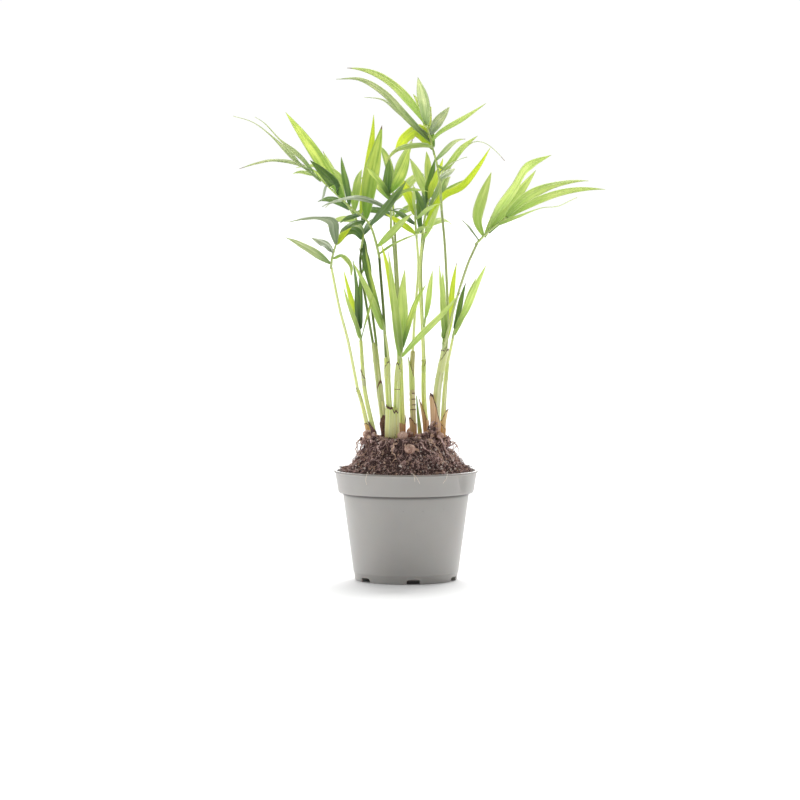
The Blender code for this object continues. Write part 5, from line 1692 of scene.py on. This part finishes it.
FRONDS = (
    Frond("frond_low_left", ((-31, -12.1, 131.4), (-30.4, -13, 135.4), (-28.9, -14, 140.4)), 4, (
        Leaflet(0.1, (-49.3, -30, 143.4), 4.2, 1, -20, G),
        Leaflet(0.6, (-39.3, -4, 143), 4.2, 1, 30, V, via=((-33.2, -9, 140.5),)),
        Leaflet(0.3, (-22.6, -22, 127.1), 2.4, 2, 20, L, via=((-26.1, -16, 135.7), (-22.7, -20, 131.6))),
        Leaflet(1, (-49.3, -6, 149.4), 5, 8, -15, V, thread=0.42, via=(
            (-29.8, -13, 145.6), (-30.9, -11, 149.7), (-36.6, -9, 151.1), (-42.8, -8, 150.7),
        )),
        Leaflet(1, (-22.6, -6, 147.4), 2.6, 0.6, 10, S),
    )),
    Frond("frond_arch_left", ((-18.7, 12.1, 138.8), (-18.3, 12.4, 141.5), (-17.8, 12.8, 144.4)), 4, (
        Leaflet(0.6, (-28.4, 8, 140), 4.4, 6, 0, D, via=((-20.6, 11, 145.8), (-25.2, 9, 145.8))),
        Leaflet(0.5, (-18.6, 15.5, 127.4), 2.2, 1, 10, D),
        Leaflet(0.1, (-14.6, 5, 123.7), 2.2, 1, -10, D),
        Leaflet(1, (-26, 20, 149.4), 2.6, 2, 0, G, thread=0.6),
        Leaflet(1, (-12.6, 26, 151), 2.8, 1, 0, D),
    )),
    Frond("frond_folded_left", ((-18.8, -6, 100.6), (-19, -6.2, 103), (-19.3, -6.4, 105)), 3, (
        Leaflet(1, (-22.1, -9, 134.6), 2.8, 0, -30, D, fold=0.6, peak=0.22),
        Leaflet(1, (-19.3, -5, 132), 2.6, 0, 30, D, fold=0.6, peak=0.22),
        Leaflet(0.2, (-25.9, -14, 123.3), 2, -1, -30, L, fold=0.5, peak=0.3),
        Leaflet(0.7, (-26.2, 10, 129.4), 2.2, -1, -30, S),
        Leaflet(0.3, (-13.4, -18, 121), 1.6, -1.5, 40, F),
    ), twin_angle=12),
    Frond("frond_low_middle", ((-8.8, -7.4, 104.4), (-9.2, -7.4, 106.6), (-9.8, -7.2, 109)), 3, (
        Leaflet(0.1, (-22.2, -16, 133.3), 3, 0.8, 10, L, fold=0.4, peak=0.3),
        Leaflet(1, (-19.9, 8, 139.2), 1.6, 0, 30, D, fold=0.5),
        Leaflet(1, (-16.9, -3, 139.6), 1.8, 0, 40, F, fold=0.5),
    )),
    Frond("frond_big_left", (
        (-11.1, -3, 135), (-13.4, -2.5, 144.2), (-16.3, -2, 150.1), (-24, -1.4, 156.4), (-38.5, -2, 170.1),
    ), 15, (
        Leaflet(0.02, (8.4, -26, 145.5), 2.6, 1.6, 30, L),
        Leaflet(0.13, (2.5, -16, 153), 3, 0.4, 30, L),
        Leaflet(0.28, (0, -30, 166.4), 5, 0, 25, D, lean=2.5, fold=0.15),
        Leaflet(0.36, (-10, 6, 189.8), 6.4, 0, 20, F),
        Leaflet(0.44, (-13.6, 22, 194.8), 3.6, 0, -30, S),
        Leaflet(0.52, (-46.4, 16, 172.2), 2.8, 8, 0, L),
        Leaflet(0.59, (-26.8, -10, 176.4), 2.8, 0, -20, D),
        Leaflet(0.66, (-49.7, -12, 194.8), 4.8, 0, -20, F, via=((-30, -5, 166.3), (-38.6, -9, 180))),
        Leaflet(0.62, (-39.6, -14, 175), 4.6, 0, -20, D, via=((-30.6, -9.6, 166.4),)),
        Leaflet(0.6, (-33.9, 12, 155.6), 2.8, 1, 20, G),
        Leaflet(0.8, (-35.6, 8, 158.2), 2.4, 0, 10, V),
        Leaflet(0.97, (-47.4, 10, 169.7), 1.8, 1, 0, L),
        Leaflet(0.92, (-68.1, -26, 171.4), 1.8, 4.6, 0, G, via=(
            (-43.6, -10, 173.3), (-53.7, -18, 175.1), (-60.9, -23, 173.8),
        )),
        Leaflet(1, (-70.2, -32, 192.7), 2.6, 0, -20, G, thread=0.5, via=(
            (-45.1, -14, 175.4), (-55.1, -23, 185.1), (-62.3, -29, 190.3),
        )),
        Leaflet(1, (-62.7, -4, 193.1), 2.6, -1, 20, G, thread=0.5, via=(
            (-43.8, -3, 176.8), (-52.1, -4, 183.4), (-58.4, -4, 190.1),
        )),
        Leaflet(0.34, (-26.5, -14, 145.5), 3.2, 1, -20, D),
        Leaflet(0.44, (-27.6, 4, 149), 2.6, 1, 10, D),
    )),
    Frond("frond_centre", ((-6.3, -4, 147.4), (-6.3, -4.6, 154.2), (-6.9, -6, 161.3)), 5, (
        Leaflet(0.45, (-34.3, -28, 155.9), 3, 4.6, -20, V),
        Leaflet(0.5, (0.8, -26, 154.2), 1.8, 1, 20, D),
        Leaflet(1, (-6.9, -22, 175.6), 4.2, 0, -30, D, lean=1.5),
        Leaflet(1, (0.8, -22, 179.7), 4.6, 0, 30, F, lean=1.5),
        Leaflet(0.8, (-16, -44, 172), 2.4, 2, -40, F, lean=1.5),
        Leaflet(0.8, (9, -44, 162), 3.2, 2, 40, F, lean=1.5),
    )),
    Frond("frond_low_centre", ((-2.5, -6.9, 91.7), (-2, -7, 94.6), (-1.4, -7.1, 97.6)), 4, (
        Leaflet(0.3, (-7.3, -18, 137.5), 3.4, 0, -20, L, fold=0.5, peak=0.3),
        Leaflet(0.8, (-10.4, -7, 141), 2.6, 0, -20, S, fold=0.5),
        Leaflet(1, (-0.4, -3, 130), 5.4, 0, 30, L, fold=0.4, peak=0.36),
        Leaflet(1, (8.4, -17, 124), 2.4, 1.9, 30, F),
        Leaflet(0.4, (22.2, -28, 120.8), 2.6, 0.8, 20, L),
    )),
    Frond("frond_fan_front", ((4.4, 4.9, 143.8), (4, 4.5, 148.4), (3.8, 4, 153.8)), 5, (
        Leaflet(0.1, (-8.6, 5, 153), 2.6, 0.6, -10, S),
        Leaflet(0.45, (-5.6, 14, 154.4), 2.4, 0.6, 10, D),
        Leaflet(0.9, (-1, 20, 167.2), 3.2, 1, -30, S),
        Leaflet(1, (-4, 5, 169.3), 3.2, 0.6, -30, S),
        Leaflet(1, (3, -8, 165), 2.8, 0, 20, L),
        Leaflet(0.6, (14.4, -30, 157.2), 2.4, 1.6, 30, L, lean=1.5),
        Leaflet(0.1, (11, -34, 147), 2.2, 1.6, 40, L, lean=1.5),
    )),
    Frond("frond_fan_middle", ((6.7, 16.1, 141), (7.4, 16.6, 148), (8.6, 17.4, 154), (9.6, 18, 159)), 7, (
        Leaflet(0.6, (3, 8, 164.6), 2.2, 0.8, -20, D),
        Leaflet(0.2, (4.4, 26, 161.4), 2.2, 0.8, 0, D),
        Leaflet(1, (15.5, 6, 176), 4.2, 0, 30, S),
        Leaflet(1, (1.7, 32, 176.4), 3.8, 0.6, -30, L),
        Leaflet(0.75, (7.2, 46, 170.5), 3.2, 2, -60, D),
        Leaflet(0.85, (12.2, 17, 176), 3.2, 0, 40, D),
        Leaflet(0.4, (35.9, 28, 181), 3, -1, 20, S, via=(
            (14.9, 20, 159.7), (23.8, 23, 164.4), (30.7, 26, 172.5),
        )),
        Leaflet(0.65, (42.6, 46, 175.6), 1.5, 3, 20, G, thread=0.6, via=(
            (15, 25, 167.5), (21.5, 32, 177), (28.5, 38, 183.2), (34, 42, 183), (38.8, 45, 179.6),
        )),
        Leaflet(0.1, (14.2, 2, 157.2), 2.4, 0.6, 20, L),
    )),
    Frond("leaf_thin_right", ((7.7, 13.2, 106.2), (8, 13.4, 107.8), (8.2, 13.6, 109.4)), 1, (
        Leaflet(1, (11.3, 17, 129.2), 2.4, -0.6, 20, L),
    )),
    Frond("frond_tall", (
        (14.8, 1, 155.4), (14.2, 2, 165.1), (13, 2.5, 173.1), (11.2, 3, 180), (8.6, 3, 190),
    ), 13, (
        Leaflet(0.2, (19, 22, 168.6), 2, 1, 30, F),
        Leaflet(0.33, (20.9, 30, 172), 2.4, 1, 40, G),
        Leaflet(0.41, (25.1, -16, 176.4), 2, 1, 20, G),
        Leaflet(0.5, (30.1, 12, 185.6), 2.6, 0, 30, L, via=((16.8, 4, 172.3), (23.6, 8, 180.3))),
        Leaflet(0.58, (24.2, -28, 183.5), 2.2, 2, 30, G),
        Leaflet(0.62, (-8.8, -16, 173.9), 3, 5, -20, L, via=(
            (10, -3, 181.4), (2.5, -8, 181.3), (-4.2, -13, 179.1),
        )),
        Leaflet(0.72, (-5.2, 14, 178), 6.6, 3, 0, S, via=((5.5, 6, 187.8), (0, 10, 185.4))),
        Leaflet(0.8, (33, -10, 198.5), 2.4, 0.8, 20, L, via=((14.6, -1, 187.2), (23.7, -5, 192.6))),
        Leaflet(0.9, (18.6, 28, 198.2), 4.2, 0, 40, G),
        Leaflet(0.97, (10.6, 16, 198), 2.2, 0, 30, S),
        Leaflet(0.84, (-29.3, 14, 209.4), 3.4, 3.6, 0, G, via=(
            (-0.4, 5, 193.7), (-9.2, 9, 203.4), (-18.9, 12, 209.2),
        )),
        Leaflet(0.78, (-17.6, 28, 202.3), 1.8, 3, 10, G, via=((-1.7, 10, 194.6), (-9.3, 20, 200.9))),
        Leaflet(1, (-24.2, -16, 212.8), 4, 6.6, -10, L),
        Leaflet(1, (4.8, -28, 208.6), 5, 1, 10, G, lean=3),
        Leaflet(0.92, (3, 40, 204), 3.8, 2, -20, F),
    )),
    Frond("frond_right", (
        (29.4, -15.1, 141.1), (33, -16.5, 144.8), (37.2, -18, 148.4), (41, -19, 151.4),
    ), 6, (
        Leaflet(0.02, (22.6, -32, 150.5), 1.6, 1, -10, V),
        Leaflet(0.2, (35.5, -2, 170.3), 4.4, 0, -20, L, via=((29.6, -14, 151), (31.6, -9, 159.7))),
        Leaflet(0.4, (58.8, -38, 176.8), 5.6, 2.4, 10, L, via=(
            (37.4, -24, 153.5), (44.1, -30, 163.3), (49.7, -35, 172.2),
        )),
        Leaflet(0.58, (53.8, -8, 171), 4, 1.4, 10, L, via=((40.5, -15, 153.4), (47.7, -11, 163))),
        Leaflet(0.3, (47.2, 8, 166.2), 2.8, 1, 0, L),
        Leaflet(1, (74, -36, 166.4), 4.4, 4.4, 0, L),
        Leaflet(1, (82.1, -14, 163), 3.2, 3.4, 10, L),
        Leaflet(0.7, (68.6, -50, 159.7), 1.6, 2, 20, L, thread=0.5, via=(
            (44.5, -30, 151.8), (54.3, -40, 155.5), (61.4, -46, 156.3),
        )),
        Leaflet(0.4, (52, 18, 157), 2.4, 2, 30, F),
    ), FRONT_RIGHT),
    Frond("frond_spear_right", ((15.6, -4, 97), (15.5, -4, 99), (15.6, -3.9, 101)), 3, (
        Leaflet(1, (13.6, -11, 132.1), 2.6, 0, -20, L, fold=0.6, peak=0.25),
        Leaflet(1, (15.2, -1, 129), 2.6, 0, 20, L, fold=0.5),
        Leaflet(0.3, (21.4, 8, 132.9), 3, 0, 30, S),
    )),
    Frond("frond_low_right", ((19.8, 2.5, 102), (20.1, 2.6, 103.6), (20.5, 2.6, 105)), 2, (
        Leaflet(1, (25.2, 12, 124), 2.2, 0, 30, D, fold=0.5, dry=0.06),
        Leaflet(1, (33.4, -4, 131.7), 2.9, 0, 30, L),
        Leaflet(0.3, (30, 22, 126), 2.2, 1, 40, L),
    )),
    Frond("frond_back_middle", ((-5, 30.1, 150.4), (-5.5, 33, 157), (-5.5, 36, 164)), 6, (
        Leaflet(0.6, (8, 60, 170), 3.8, 3, 60, L),
        Leaflet(0.6, (-20, 58, 168), 3.8, 3, -60, F),
        Leaflet(1, (-11, 62, 182), 4.2, 2, -60, F),
        Leaflet(1, (3, 52, 185), 4.2, 1, 60, L),
        Leaflet(0.1, (-24, 50, 152), 3, 3, -40, D),
        Leaflet(0.1, (12, 52, 154), 3, 3, 40, F),
    )),
    Frond("frond_back_left", ((-18.9, 28.2, 146.4), (-22, 32, 152), (-26, 35, 158)), 6, (
        Leaflet(1, (-44, 40, 174), 3.4, 1, -60, F),
        Leaflet(1, (-36, 60, 180), 3.4, 1, -50, L),
        Leaflet(0.7, (-38, 50, 158), 3, 3, -40, D),
        Leaflet(0.5, (-19, 54, 172), 3.4, 2, 40, F),
        Leaflet(0.2, (-34, 46, 147), 2.8, 3, -40, L),
        Leaflet(0.1, (-14, 46, 160), 2.8, 2, 40, D),
    ), FRONT_LEFT),
    Frond("frond_back_right", ((8.6, 30.2, 146.4), (10, 33, 152), (12, 37, 159)), 6, (
        Leaflet(1, (9, 60, 180), 3.6, 1, -60, F),
        Leaflet(1, (21, 58, 178), 3.6, 1, 50, L),
        Leaflet(0.7, (1, 62, 158), 3, 3, -40, D),
        Leaflet(0.6, (27, 52, 168), 3, 2, 40, F),
        Leaflet(0.1, (20, 54, 148), 2.6, 3, 40, L),
    ), FRONT_RIGHT),
)


@dataclass
class Studio:
    """A white room: a pale floor that runs to the skyline, soft light, brighter from behind, and the camera.

    The camera looks from the height that shows the rim's ellipse as the photograph does, from so far that a
    picture 800 wide takes in frame_width at the plant. The floor's corners are in metres.
    """

    distance: float = 1400.0
    camera_height: float = 156.2
    aim: Point = (-2.5, 0.0, 75.2)
    frame_width: float = 334.4
    sensor: float = 36.0
    skyline: float = 40.0
    floor_white: float = 0.93
    dimmest: Point = (0.31, -0.95, 0.0)
    front_light: float = 0.14
    sky: float = 1.02
    sun: float = 3.7
    sun_softness: float = 60.0
    sun_direction: Point = (-0.12, -1.0, -0.75)

    def floor(self) -> None:
        """The floor: a flat pale sheet that runs to the skyline."""
        side, near, far = self.skyline / 2, -self.skyline / 10, self.skyline
        mesh = bpy.data.meshes.new("floor")
        corners = [(-side, near, 0.0), (side, near, 0.0), (side, far, 0.0), (-side, far, 0.0)]
        mesh.from_pydata(corners, [], [(0, 1, 2, 3)])
        skin = Skin("floor_white")
        white = (*[self.floor_white] * 3, 1.0)
        skin.feed(skin.shader, {"Base Color": white, "Roughness": 0.9, "Specular IOR Level": 0.2})
        mesh.materials.append(skin.material)
        linked("floor", mesh)

    def lights(self) -> None:
        """An even white sky that dims in front, and a broad soft sun from high behind on the right.

        The sky's brightness in a direction runs from front_light to 1 by the cosine of its angle from the
        dimmest direction, which lies a little to the right of the camera.
        """
        world = bpy.data.worlds.new("white_room")
        bpy.context.scene.world = world
        world.use_nodes = True
        paint = Paint(world.node_tree)
        towards = paint.node("TexCoord", {})["Generated"]
        dim = paint.node("VectorMath", {0: towards, 1: self.dimmest}, operation="DOT_PRODUCT")["Value"]
        greys = {6: (*[self.front_light] * 3, 1.0), 7: (1.0, 1.0, 1.0, 1.0)}
        sky = paint.node("Mix", {0: paint.ramp(dim, 0.88, -0.1), **greys}, data_type="RGBA")[2]
        paint.feed(paint.tree.nodes["Background"], {"Color": sky, "Strength": self.sky})
        light = bpy.data.lights.new("soft_sun", "SUN")
        light.angle = math.radians(self.sun_softness)
        light.energy = self.sun
        linked("soft_sun", light).rotation_euler = direction_angles(np.array(self.sun_direction))

    def camera(self) -> None:
        """The camera, level with its aim but for the tilt that its height gives."""
        lens = bpy.data.cameras.new("camera")
        lens.sensor_width = self.sensor
        start = np.array([self.aim[0], -self.distance, self.camera_height])
        towards = np.array(self.aim) - start
        lens.lens = self.sensor * np.linalg.norm(towards) / self.frame_width
        lens.clip_end = 50.0
        made = linked("camera", lens)
        made.location = start * MM
        made.rotation_euler = direction_angles(towards)
        bpy.context.scene.camera = made

    def build(self) -> None:
        """Makes the room."""
        self.floor()
        self.lights()
        self.camera()
        bpy.context.scene.view_settings.view_transform = "Standard"


def direction_angles(towards: Array) -> tuple[float, float, float]:
    """The Euler angles that point an object's -Z along a direction, with its top up."""
    x, y, z = unit(towards)
    return (math.acos(-z), 0.0, math.atan2(y, x) - math.pi / 2)


def main() -> None:
    """Builds the room, the pot, the bed, the seeds, the stems and the fronds, in that order."""
    for part in (Studio(), NurseryPot(), PeatBed(), *SEEDS, *STEMS, *STALKS):
        part.build()
    rng = np.random.default_rng(SEED + 1)
    for frond in FRONDS:
        frond.build(rng)


if __name__ == "__main__":
    main()
